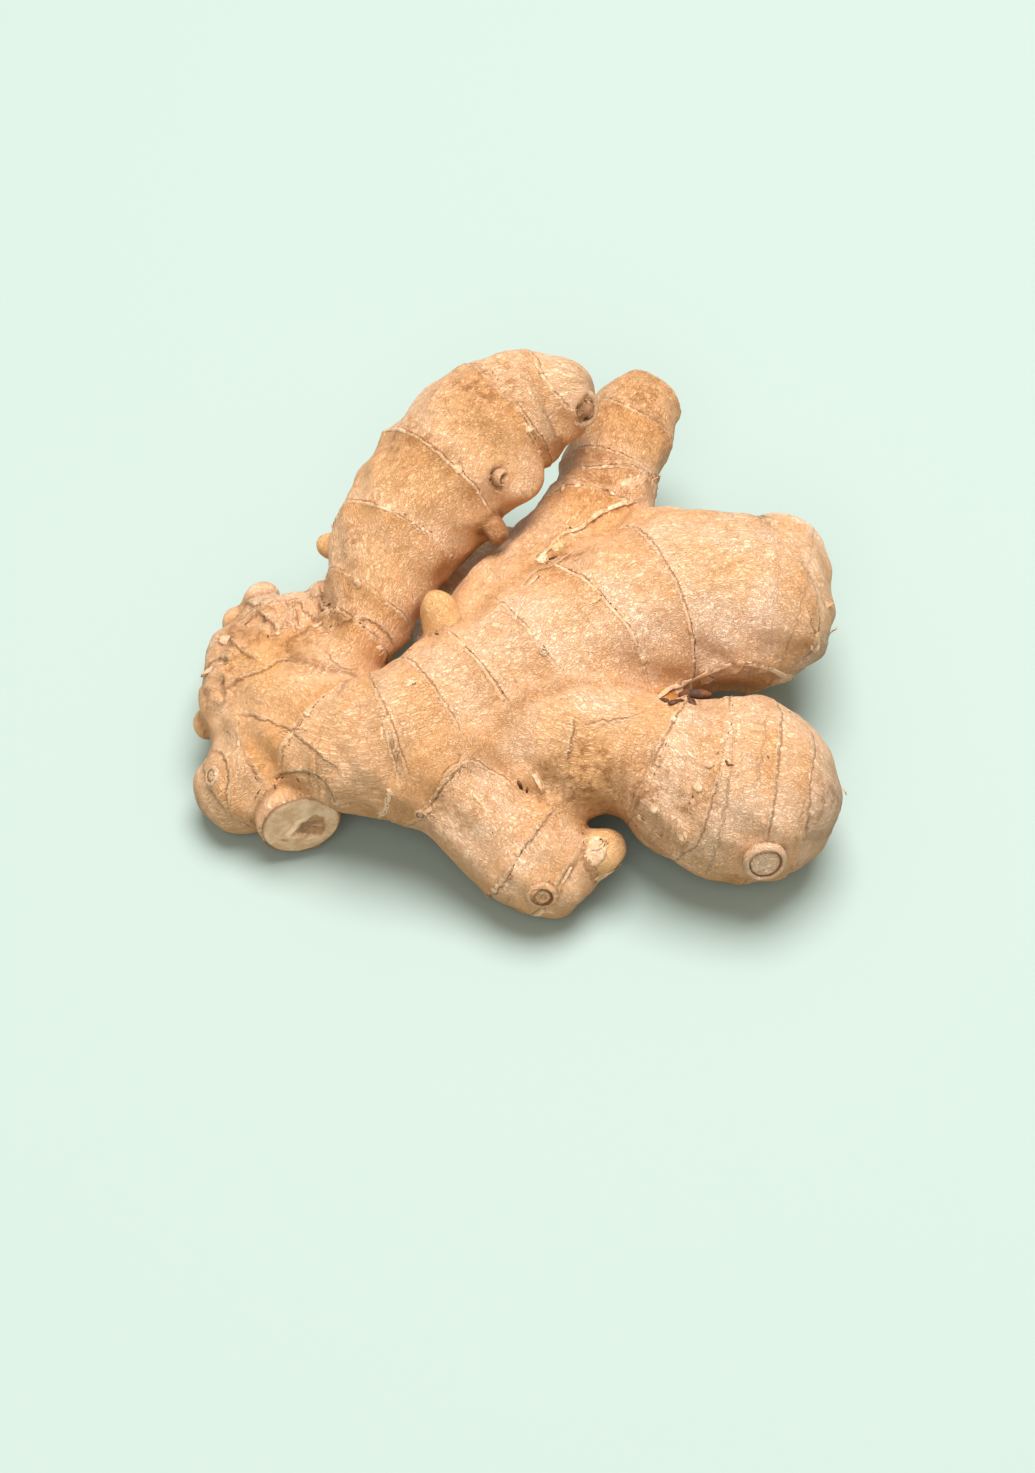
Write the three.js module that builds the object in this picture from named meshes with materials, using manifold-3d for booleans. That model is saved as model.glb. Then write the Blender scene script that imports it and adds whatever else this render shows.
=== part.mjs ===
// A hand of fresh ginger: one rhizome, grown in one piece, lying on a table.
// Fat lobes branch off one another, ringed by the scars of the sheath leaves that once wrapped them.
// Millimetres, +Z up. X runs along the hand, Y away from its front lobes, and the origin is on the
// table under the middle of the hand.

import * as THREE from "three";
import { mergeVertices } from "three/addons/utils/BufferGeometryUtils.js";
import Module from "manifold-3d";

const wasm = await Module();
wasm.setup();

// Sheath scars: a low rim all the way round a lobe, steep on its tip side
const scarRise = 2.2; // length of the swelling on the base side
const scarDrop = 0.8; // length of the step down on the tip side
const scarWaver = 0.35; // how far a scar strays on its way round
const lumpHeight = 0.55; // slow swellings all over the skin
const lumpLength = 17;

// How finely the lobes are drawn
const sampleStep = 1.5; // along an axis
const skinEdge = 2.38; // between the vertices of the skin
const flatness = 0.38; // faces flatter than this are joined up
const roomForHand = { min: [-80, -75, -6], max: [80, 75, 70] };
const scarCatch = 1.1; // vertices this near to a scar are drawn onto it
const probeStep = 0.05; // for the slope of the skin
const farAway = 8; // a lobe further off than this has no say in the skin

// Each lobe is a row of balls along its axis: [x, y, z, radius]. A scar is [distance along the axis,
// how far it leans, the side in degrees that it leans towards, height]. A flat end has its own dish.
const lobes = [
  {
    name: "heart",
    path: [
      [-54, -14.5, 16, 12.6],
      [-45.5, -20, 18, 13.6],
      [-34.5, -30.5, 21, 13.2],
      [-24.5, -30.5, 23, 15.2],
      [-15, -25, 24, 15.5],
      [-3.5, -19, 25, 16.4],
      [9, -10, 26.5, 17.4],
      [21.5, -2.5, 27.5, 18],
      [36.5, 2.5, 27.5, 18.4],
      [47.5, 4, 26.5, 18.5],
      [51.5, 3, 25, 15.8],
    ],
    scars: [
      [20, 1.5, 180, 0.5],
      [32.5, 2.5, 180, 0.4],
      [42.5, 2.3, 187, 0.8],
      [53, 3.2, 228, 0.8],
      [67.5, 0.8, 180, 0.8],
      [83.5, 3.5, 270, 0.5],
      [98, 3, 255, 0.8],
      [119, 14, 245, 0.6],
    ],
    blend: 4,
  },
  {
    name: "heart_shoulder",
    path: [
      [26, 3, 27, 12.7],
      [32, 14, 29, 11.5],
    ],
    scars: [],
    blend: 5,
  },
  {
    name: "heart_brow",
    path: [
      [48, 5.5, 26, 12.7],
      [56, 14.5, 27, 10.7],
    ],
    scars: [],
    blend: 5,
  },
  {
    name: "right_lobe",
    path: [
      [2.5, -29.5, 24, 12],
      [12, -33, 24, 12.8],
      [22, -34, 23, 12.7],
      [30.5, -36, 21.5, 14],
      [38.5, -39, 20, 17],
      [46, -39.5, 18.6, 19.3],
      [48.4, -40, 18.4, 18.2],
    ],
    scars: [
      [26.5, 0.8, 190, 0.8],
      [35.5, 3.2, 148, 0.7],
      [49, 2, 230, 0.4],
      [56, 4, 240, 0.4],
    ],
    blend: 8,
  },
  {
    name: "front_finger",
    path: [
      [-16, -37, 22, 11.3],
      [-9, -43.4, 17.5, 10.6],
      [-1.5, -48.4, 13.2, 11.4],
      [3.5, -51.8, 11, 11.6],
      [6.5, -52.8, 9.8, 10.2],
    ],
    scars: [
      [2.5, 2, 270, 0.4],
      [23.3, 1.2, 240, 0.7],
      [32, 1.5, 180, 0.5],
    ],
    blend: 7,
  },
  {
    name: "back_finger",
    path: [
      [-10, -17, 23, 13],
      [-3, -3, 24.5, 13.8],
      [8, 13, 24.8, 13],
      [17.6, 30.3, 27.6, 11],
      [20.8, 41.5, 29.2, 10.3],
      [24.2, 50.6, 30.5, 9.9],
      [26.6, 55.1, 31, 8.9],
    ],
    scars: [
      [50, 4.5, 238, 0.7],
      [56.2, 5, 238, 0.9],
      [62.6, 0.6, 150, 0.7],
      [75, 0.8, 180, 0.5],
      [86, 3, 180, 0.4],
    ],
    blend: 5,
  },
  {
    name: "heart_flank",
    path: [
      [-11, -9, 15, 11.5],
      [-12, 3, 12.5, 11],
      [-9, 15, 12.4, 11],
      [-2, 26, 11, 10.5],
    ],
    scars: [],
    blend: 5,
  },
  {
    name: "raised_finger",
    path: [
      [-41.5, -15, 21, 11],
      [-35, -9, 24.5, 7.8],
      [-32, -4, 27.5, 8.4],
      [-29.5, 4, 31, 10.7],
      [-25, 15.8, 35, 13.8],
      [-16.3, 26.6, 40.4, 15.5],
      [-6.3, 36.2, 46, 14.4],
      [1.8, 40.4, 48.4, 11.9],
      [6.6, 40.2, 50.4, 9.8],
    ],
    scars: [
      [14, 3, 130, 0.5],
      [20.5, 3.8, 130, 0.8],
      [34.9, 4, 210, 0.8],
      [52, 3.2, 190, 0.8],
      [74, 1.2, 300, 0.7],
      [86, 4.5, 270, 0.6],
    ],
    blend: 2.5,
  },
  {
    name: "finger_belly",
    path: [
      [-9, 30, 43, 10.5],
      [-2, 24, 44.5, 7],
    ],
    scars: [],
    blend: 3,
  },
  {
    name: "left_knuckle",
    path: [
      [-43.5, -14, 17, 10.5],
      [-49, 1, 15, 12.4],
    ],
    scars: [
      [9, 1, 90, 0.4],
      [18, 1.5, 90, 0.5],
    ],
    blend: 5,
  },
  {
    name: "knuckle_web",
    path: [
      [-41, -6, 17, 8.5],
      [-40, 1, 18.5, 8],
    ],
    scars: [],
    blend: 3,
  },
  {
    name: "side_knuckle",
    path: [
      [-48, -9.7, 15, 11],
      [-56.5, -2.5, 12, 10.5],
    ],
    scars: [
      [9, 1, 0, 0.4],
      [16, 1, 0, 0.5],
    ],
    blend: 5,
  },
  {
    name: "left_toe",
    path: [
      [-43.5, -23.5, 16.5, 11.6],
      [-51.5, -28.3, 12.5, 11.9],
      [-56, -30.8, 9.8, 10.7],
      [-58.5, -31.2, 8.6, 9.2],
    ],
    scars: [
      [12, 1, 40, 0.5],
      [20.5, 1, 200, 0.5],
    ],
    blend: 5,
  },
  {
    name: "cut_stub",
    path: [
      [-49, -27, 10.5, 10],
      [-47, -34.6, 10.4, 9.2],
      [-45, -42.1, 10.8, 8.6],
    ],
    scars: [[10.5, 0.8, 0, 0.7]],
    blend: 2.5,
    flatEnd: { past: 0.8, dishRadius: 5.2, dishDepth: 1 },
  },
  {
    name: "heel",
    path: [
      [8, 8, 22, 13],
      [12, 20, 17, 12],
      [14, 28, 11, 11.8],
    ],
    scars: [
      [12, 1, 0, 0.7],
      [22, 1, 0, 0.7],
    ],
    blend: 4,
  },
  {
    name: "bud_back_knob",
    path: [
      [-54, 7, 15, 5],
      [-55, 12, 17.3, 4.1],
    ],
    scars: [],
    blend: 1,
  },
  {
    name: "bud_fold",
    path: [
      [-42.5, 2, 20.5, 4.2],
      [-42, 6.5, 22.4, 3.2],
      [-41.7, 9.4, 23.6, 2.7],
    ],
    scars: [],
    blend: 1,
  },
  {
    name: "bud_back_side",
    path: [
      [-57, 5.5, 13.5, 5],
      [-60, 8.3, 14.2, 3.7],
    ],
    scars: [],
    blend: 1,
  },
  {
    name: "bud_left",
    path: [
      [-61, -16.5, 12, 4],
      [-65, -16, 11.5, 3.4],
    ],
    scars: [],
    blend: 0.6,
  },
  {
    name: "bud_finger_side",
    path: [
      [-36, 15, 31, 4],
      [-39.2, 17, 30, 3.2],
    ],
    scars: [],
    blend: 0.6,
  },
  {
    name: "bud_gap",
    path: [
      [-13.5, -10.5, 31, 3.6],
      [-15.5, -8, 34.5, 4.2],
      [-16.6, -6.2, 36.4, 3.9],
    ],
    scars: [],
    blend: 0.5,
  },
  {
    name: "root_stub_under",
    path: [
      [-7, 16.5, 40.5, 2.4],
      [-3.2, 11.3, 39, 1.8],
    ],
    scars: [],
    blend: 0.8,
    flatEnd: { past: 0.4, dishRadius: 1, dishDepth: 0.3 },
  },
  {
    name: "eye_right_lobe",
    path: [
      [49.4, -55, 19.6, 4.2],
      [50.1, -59.2, 20.4, 3.9],
    ],
    scars: [],
    blend: 0.4,
    flatEnd: { past: 0.6, dishRadius: 3, dishDepth: 0.9 },
  },
  {
    name: "eye_front_finger",
    path: [
      [5, -60, 13.2, 2.9],
      [5, -63.4, 14.1, 2.7],
    ],
    scars: [],
    blend: 0.4,
    flatEnd: { past: 0.4, dishRadius: 1.9, dishDepth: 0.8 },
  },
  {
    name: "eye_raised_finger",
    path: [
      [12.8, 36.8, 51.8, 2.9],
      [14.7, 35.1, 53, 2.6],
    ],
    scars: [],
    blend: 0.4,
    flatEnd: { past: 0.4, dishRadius: 2, dishDepth: 1.3 },
  },
  {
    name: "peg_raised_finger",
    path: [
      [-5.4, 21.2, 48.2, 2.2],
      [-3.3, 19.2, 49.2, 1.8],
    ],
    scars: [],
    blend: 0.6,
    flatEnd: { past: 0.7, dishRadius: 1.2, dishDepth: 0.4 },
  },
  {
    name: "bud_front",
    path: [
      [10, -52.5, 11.5, 6.5],
      [15.5, -51.3, 12.5, 5.3],
      [17.7, -50.3, 12.7, 4.4],
    ],
    scars: [[4.5, 0.5, 0, 0.5]],
    blend: 0.8,
  },
];

// Samples of a lobe's axis, with its arc length, its radius and a frame that doesn't twist
function traceLobe(lobe) {
  const centres = new THREE.CatmullRomCurve3(
    lobe.path.map(([x, y, z]) => new THREE.Vector3(x, y, z)),
    false,
    "centripetal",
  );
  const radii = new THREE.SplineCurve(lobe.path.map((ball, i) => new THREE.Vector2(i, ball[3])));
  const length = centres.getLength();
  const count = Math.ceil(length / sampleStep);
  const frames = centres.computeFrenetFrames(count, false);
  const samples = [];
  for (let i = 0; i <= count; i++) {
    const u = i / count;
    samples.push({
      centre: centres.getPointAt(u),
      radius: radii.getPoint(centres.getUtoTmapping(u)).y,
      along: u * length,
      tangent: frames.tangents[i],
      normal: frames.normals[i],
      binormal: frames.binormals[i],
    });
  }
  const middle = centres.getPointAt(0.5);
  const reach = Math.max(...samples.map(({ centre, radius }) => centre.distanceTo(middle) + radius));
  return { ...lobe, samples, length, middle, reach };
}

const traced = lobes.map(traceLobe);

// Where a lobe is nearest to a point: the gap to its smooth skin, and how far along the axis that is
function nearestOn(lobe, point) {
  const { samples } = lobe;
  let best = { gap: Infinity };
  for (let i = 0; i + 1 < samples.length; i++) {
    const a = samples[i];
    const b = samples[i + 1];
    const dx = b.centre.x - a.centre.x;
    const dy = b.centre.y - a.centre.y;
    const dz = b.centre.z - a.centre.z;
    const px = point.x - a.centre.x;
    const py = point.y - a.centre.y;
    const pz = point.z - a.centre.z;
    const share = (px * dx + py * dy + pz * dz) / (dx * dx + dy * dy + dz * dz);
    const t = Math.min(1, Math.max(0, share));
    const away = Math.hypot(px - t * dx, py - t * dy, pz - t * dz);
    const gap = away - (a.radius + t * (b.radius - a.radius));
    if (gap < best.gap) {
      const past = (share - t) * (b.along - a.along);
      best = { gap, along: a.along + t * (b.along - a.along) + past, frame: t < 0.5 ? a : b };
    }
  }
  const { centre, normal, binormal } = best.frame;
  const offset = new THREE.Vector3().subVectors(point, centre);
  best.angle = Math.atan2(offset.dot(binormal), offset.dot(normal));
  if (lobe.flatEnd) best.gap = Math.max(best.gap, endGap(lobe, point));
  return best;
}

// How far a point is past the flat end of a lobe, which is dished in the middle
function endGap({ samples, flatEnd }, point) {
  const { centre, tangent } = samples.at(-1);
  const offset = new THREE.Vector3().subVectors(point, centre);
  const past = offset.dot(tangent);
  const sideways = Math.sqrt(Math.max(0, offset.lengthSq() - past ** 2));
  const dish = flatEnd.dishDepth * Math.max(0, 1 - (sideways / flatEnd.dishRadius) ** 2);
  return past - flatEnd.past + dish;
}

// How far along the axis a scar strays, at an angle round the lobe
function scarStray([, lean, side], angle) {
  return lean * Math.cos(angle - THREE.MathUtils.degToRad(side)) + scarWaver * Math.sin(3 * angle + 0.5);
}

// Height of the skin over the smooth lobe at a distance along it
function scarRelief(lobe, along, angle) {
  let height = 0;
  for (const scar of lobe.scars) {
    const past = along - scar[0] - scarStray(scar, angle);
    const slope = past < 0 ? 1 + past / scarRise : 1 - past / scarDrop;
    height = Math.max(height, scar[3] * Math.max(0, slope));
  }
  return height;
}

function lumpRelief({ x, y, z }) {
  const a = (2 * Math.PI) / lumpLength;
  return (
    lumpHeight *
    (Math.sin(a * x + 1.7 * Math.sin(a * 0.6 * y)) * Math.cos(a * 0.9 * y + 1.1 * Math.sin(a * 0.7 * z)) +
      0.4 * Math.sin(a * 1.9 * z + a * 1.3 * x + 0.7))
  );
}

// Two skins grown together, with a fillet of about the given reach
function growTogether(a, b, reach) {
  const h = Math.min(1, Math.max(0, 0.5 + (0.5 * (b - a)) / reach));
  return b + (a - b) * h - reach * h * (1 - h);
}

// Signed distance from a point to the skin of the whole hand, negative inside
function skinDistance(point) {
  let distance = farAway;
  for (const lobe of traced) {
    if (point.distanceTo(lobe.middle) - lobe.reach > farAway) continue;
    const near = nearestOn(lobe, point);
    const gap = near.gap - scarRelief(lobe, near.along, near.angle);
    distance = growTogether(distance, gap, lobe.blend);
  }
  return distance - lumpRelief(point);
}

// Moves a point onto the skin, straight along its slope
function settleOnSkin(point) {
  const probe = new THREE.Vector3();
  const slope = new THREE.Vector3();
  for (let round = 0; round < 3; round++) {
    const here = skinDistance(point);
    for (const axis of ["x", "y", "z"]) {
      probe.copy(point)[axis] += probeStep;
      slope[axis] = (skinDistance(probe) - here) / probeStep;
    }
    if (slope.lengthSq() < 0.5) return; // deep in a crease, where there is no clear way out
    point.addScaledVector(slope, -THREE.MathUtils.clamp(here / slope.lengthSq(), -0.6, 0.6));
  }
}

// A three.js geometry as a solid that can be joined and cut
function toSolid(geometry) {
  const bare = geometry.clone();
  bare.deleteAttribute("normal");
  bare.deleteAttribute("uv");
  const merged = mergeVertices(bare, 1e-4);
  return new wasm.Manifold(
    new wasm.Mesh({
      numProp: 3,
      vertProperties: new Float32Array(merged.attributes.position.array),
      triVerts: new Uint32Array(merged.index.array),
    }),
  );
}

function toGeometry(solid) {
  const mesh = solid.getMesh();
  const geometry = new THREE.BufferGeometry();
  geometry.setAttribute("position", new THREE.BufferAttribute(new Float32Array(mesh.vertProperties), 3));
  geometry.setIndex(new THREE.BufferAttribute(new Uint32Array(mesh.triVerts), 1));
  return geometry;
}

// Slides a point along its lobe to the crest or the foot of a scar that it is nearly on
function settleOnScar(point) {
  const nears = traced.map((lobe) => ({ lobe, ...nearestOn(lobe, point) })).sort((a, b) => a.gap - b.gap);
  const [{ lobe, gap, along, angle, frame }, second] = nears;
  if (second.gap - gap < 1.5) return;
  for (const scar of lobe.scars) {
    const past = along - scar[0] - scarStray(scar, angle);
    if (past < -scarCatch || past > scarDrop + scarCatch) continue;
    const onCrest = past < scarDrop / 2;
    const wanted = onCrest ? past * 0.2 : scarDrop + (past - scarDrop) * 0.2;
    point.addScaledVector(frame.tangent, wanted - past);
    return;
  }
}

// The largest shell alone, so that no pocket is left closed inside
function largestShell(solid) {
  return solid.decompose().sort((a, b) => b.volume() - a.volume())[0];
}

// The lobes grown together under one skin, with its vertices drawn onto the scars
function growHand() {
  const inside = ([x, y, z]) => -skinDistance(new THREE.Vector3(x, y, z));
  const geometry = toGeometry(largestShell(wasm.Manifold.levelSet(inside, roomForHand, skinEdge, 0)));
  const { position } = geometry.attributes;
  const point = new THREE.Vector3();
  for (let i = 0; i < position.count; i++) {
    point.fromBufferAttribute(position, i);
    settleOnScar(point);
    settleOnSkin(point);
    position.setXYZ(i, point.x, point.y, point.z);
  }
  return toSolid(geometry);
}

// What the table flattens: everything below height zero
function tableCut() {
  return new THREE.BoxGeometry(400, 400, 40).translate(0, 0, -20);
}

const handSolid = largestShell(growHand().subtract(toSolid(tableCut())).simplify(flatness));

const ginger = new THREE.Mesh(
  toGeometry(handSolid),
  new THREE.MeshStandardMaterial({ color: 0xd9a876, roughness: 0.62, metalness: 0 }),
);
ginger.name = "ginger_root";
ginger.geometry.computeVertexNormals();

const root = new THREE.Group();
root.add(ginger);

export default root;
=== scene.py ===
# A hand of fresh ginger lying on a pale table, seen from above its front.
# The skin is worked out in millimetres and made metres when it becomes a mesh.

import math

import bmesh
import bpy
import numpy as np
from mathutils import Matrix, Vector, noise
from mathutils.bvhtree import BVHTree


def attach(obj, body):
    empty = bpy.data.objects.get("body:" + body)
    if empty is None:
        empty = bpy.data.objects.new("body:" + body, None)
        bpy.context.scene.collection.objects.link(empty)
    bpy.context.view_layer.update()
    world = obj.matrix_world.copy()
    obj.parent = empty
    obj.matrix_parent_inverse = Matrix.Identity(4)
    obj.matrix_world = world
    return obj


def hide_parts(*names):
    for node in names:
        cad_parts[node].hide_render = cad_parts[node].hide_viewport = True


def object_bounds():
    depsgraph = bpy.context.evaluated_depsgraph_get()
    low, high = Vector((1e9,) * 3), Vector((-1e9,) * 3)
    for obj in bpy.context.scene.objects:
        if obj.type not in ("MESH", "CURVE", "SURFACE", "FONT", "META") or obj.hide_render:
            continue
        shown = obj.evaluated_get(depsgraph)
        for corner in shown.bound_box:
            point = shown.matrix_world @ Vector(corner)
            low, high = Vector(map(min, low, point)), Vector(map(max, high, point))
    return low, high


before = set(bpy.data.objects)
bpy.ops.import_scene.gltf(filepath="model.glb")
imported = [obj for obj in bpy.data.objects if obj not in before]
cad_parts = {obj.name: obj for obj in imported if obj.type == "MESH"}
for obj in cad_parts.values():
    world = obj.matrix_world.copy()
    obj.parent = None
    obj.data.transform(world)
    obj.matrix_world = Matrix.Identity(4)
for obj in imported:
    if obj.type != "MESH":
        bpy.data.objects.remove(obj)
cadLow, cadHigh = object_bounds()
scene = bpy.context.scene
mm = 0.001


# Camera, light and table

shot = {
    "elevation": 52,  # degrees above the table
    "distance": 750,  # mm from the target
    "target": (0, -11, 0),
    "focal": 3487,  # in photo pixels
    "size": (1035, 1473),
    "sensor": 36,
    "clip": (0.01, 20),
}


def addObject(name, data):
    made = bpy.data.objects.new(name, data)
    scene.collection.objects.link(made)
    return made


def shotAxes():
    tilt = math.radians(shot["elevation"])
    ahead = Vector((0, math.cos(tilt), -math.sin(tilt)))
    up = Vector((0, math.sin(tilt), math.cos(tilt)))
    eye = Vector(shot["target"]) - ahead * shot["distance"]
    return eye, ahead, up


def makeCamera():
    eye, ahead, _ = shotAxes()
    data = bpy.data.cameras.new("shotCamera")
    data.sensor_width = shot["sensor"]
    data.lens = shot["sensor"] * shot["focal"] / shot["size"][1]
    data.clip_start, data.clip_end = shot["clip"]
    camera = addObject("shotCamera", data)
    camera.location = eye * mm
    camera.rotation_euler = ahead.to_track_quat("-Z", "Y").to_euler()
    scene.camera = camera


lighting = {
    "key": {"place": (130, 300, 1800), "size": 1.3, "power": 54},
    "fill": {"place": (-200, -1300, 1500), "size": 1.2, "power": 11},
    "aim": (0, 0, 20),
    "world": (1, 0.98, 0.78),
    "worldStrength": 0.38,
}


def makeLight(name):
    values = lighting[name]
    data = bpy.data.lights.new(name + "Light", "AREA")
    data.shape = "DISK"
    data.size = values["size"]
    data.energy = values["power"]
    light = addObject(name + "Light", data)
    light.location = Vector(values["place"]) * mm
    aim = Vector(lighting["aim"]) * mm - light.location
    light.rotation_euler = aim.to_track_quat("-Z", "Y").to_euler()


def lightRoom():
    makeLight("key")
    makeLight("fill")
    world = bpy.data.worlds.new("paleRoom")
    world.use_nodes = True
    background = world.node_tree.nodes["Background"]
    background.inputs["Color"].default_value = (*lighting["world"], 1)
    background.inputs["Strength"].default_value = lighting["worldStrength"]
    scene.world = world
    scene.view_settings.view_transform = "Standard"


# Node helpers


def feed(tree, node, values):  # links sockets and sets plain values
    for socket, value in values.items():
        if isinstance(value, bpy.types.NodeSocket):
            tree.links.new(value, node.inputs[socket])
        else:
            node.inputs[socket].default_value = value
    return node


def put(tree, kind, values=None, **settings):
    made = tree.nodes.new(kind)
    for name, value in settings.items():
        setattr(made, name, value)
    return feed(tree, made, values or {})


def calc(tree, operation, *values, clamp=False):
    values = dict(enumerate(values))
    return put(tree, "ShaderNodeMath", values, operation=operation, use_clamp=clamp).outputs[0]


def vectorCalc(tree, operation, values):
    return put(tree, "ShaderNodeVectorMath", values, operation=operation).outputs[0]


def spread(tree, value, low, high, toLow=0.0, toHigh=1.0):
    values = {"Value": value, "From Min": low, "From Max": high, "To Min": toLow, "To Max": toHigh}
    return put(tree, "ShaderNodeMapRange", values, interpolation_type="SMOOTHSTEP").outputs[0]


def tint(tree, factor, under, over):
    return put(tree, "ShaderNodeMix", {0: factor, 6: under, 7: over}, data_type="RGBA").outputs[2]


def mingle(tree, factor, first, second):
    return put(tree, "ShaderNodeMix", {0: factor, 2: first, 3: second}, data_type="FLOAT").outputs[0]


def attribute(tree, name, output="Fac"):
    return put(tree, "ShaderNodeAttribute", attribute_name=name).outputs[output]


def roughTexture(tree, place, scale, detail, roughness=0.5):
    values = {"Vector": place, "Scale": scale, "Detail": detail, "Roughness": roughness}
    return put(tree, "ShaderNodeTexNoise", values).outputs


def bump(tree, height, distance, **more):
    return put(tree, "ShaderNodeBump", {"Distance": distance, "Height": height, **more}).outputs[0]


def placeGroup(tree, group, values):
    return put(tree, "ShaderNodeGroup", values, node_tree=group).outputs


def newGroup(name, inputs, outputs):
    tree = bpy.data.node_groups.new(name, "ShaderNodeTree")
    for socket, kind, value in inputs:
        made = tree.interface.new_socket(socket, in_out="INPUT", socket_type=kind)
        if value is not None:
            made.default_value = value
    for socket in outputs:
        tree.interface.new_socket(socket, in_out="OUTPUT", socket_type="NodeSocketFloat")
    return tree, put(tree, "NodeGroupInput").outputs, put(tree, "NodeGroupOutput")


def newMaterial(name):
    material = bpy.data.materials.new(name)
    material.use_nodes = True
    tree = material.node_tree
    return material, tree, tree.nodes["Principled BSDF"]


# Colours laid over one another: the name of a mask or an attribute, its share and its colour
def layColours(tree, base, layers, colours, masks):
    for name, share, colour in layers:
        mask = masks[name] if name in masks else attribute(tree, name)
        base = tint(tree, calc(tree, "MULTIPLY", mask, share), base, colours[colour])
    return base


floorLook = {"size": 3, "colour": (0.384, 0.464, 0.429, 1), "roughness": 0.85, "specular": 0.15}


def makeFloor():
    shape = bmesh.new()
    bmesh.ops.create_grid(shape, x_segments=2, y_segments=2, size=floorLook["size"])
    mesh = bpy.data.meshes.new("paleTable")
    shape.to_mesh(mesh)
    shape.free()
    material, tree, surface = newMaterial("paleTable")
    look = {"Base Color": "colour", "Roughness": "roughness", "Specular IOR Level": "specular"}
    feed(tree, surface, {socket: floorLook[name] for socket, name in look.items()})
    mesh.materials.append(material)
    addObject("paleTable", mesh)


makeCamera()
lightRoom()
makeFloor()
print("camera, light and table are in place")


# The lobes of the hand

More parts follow.
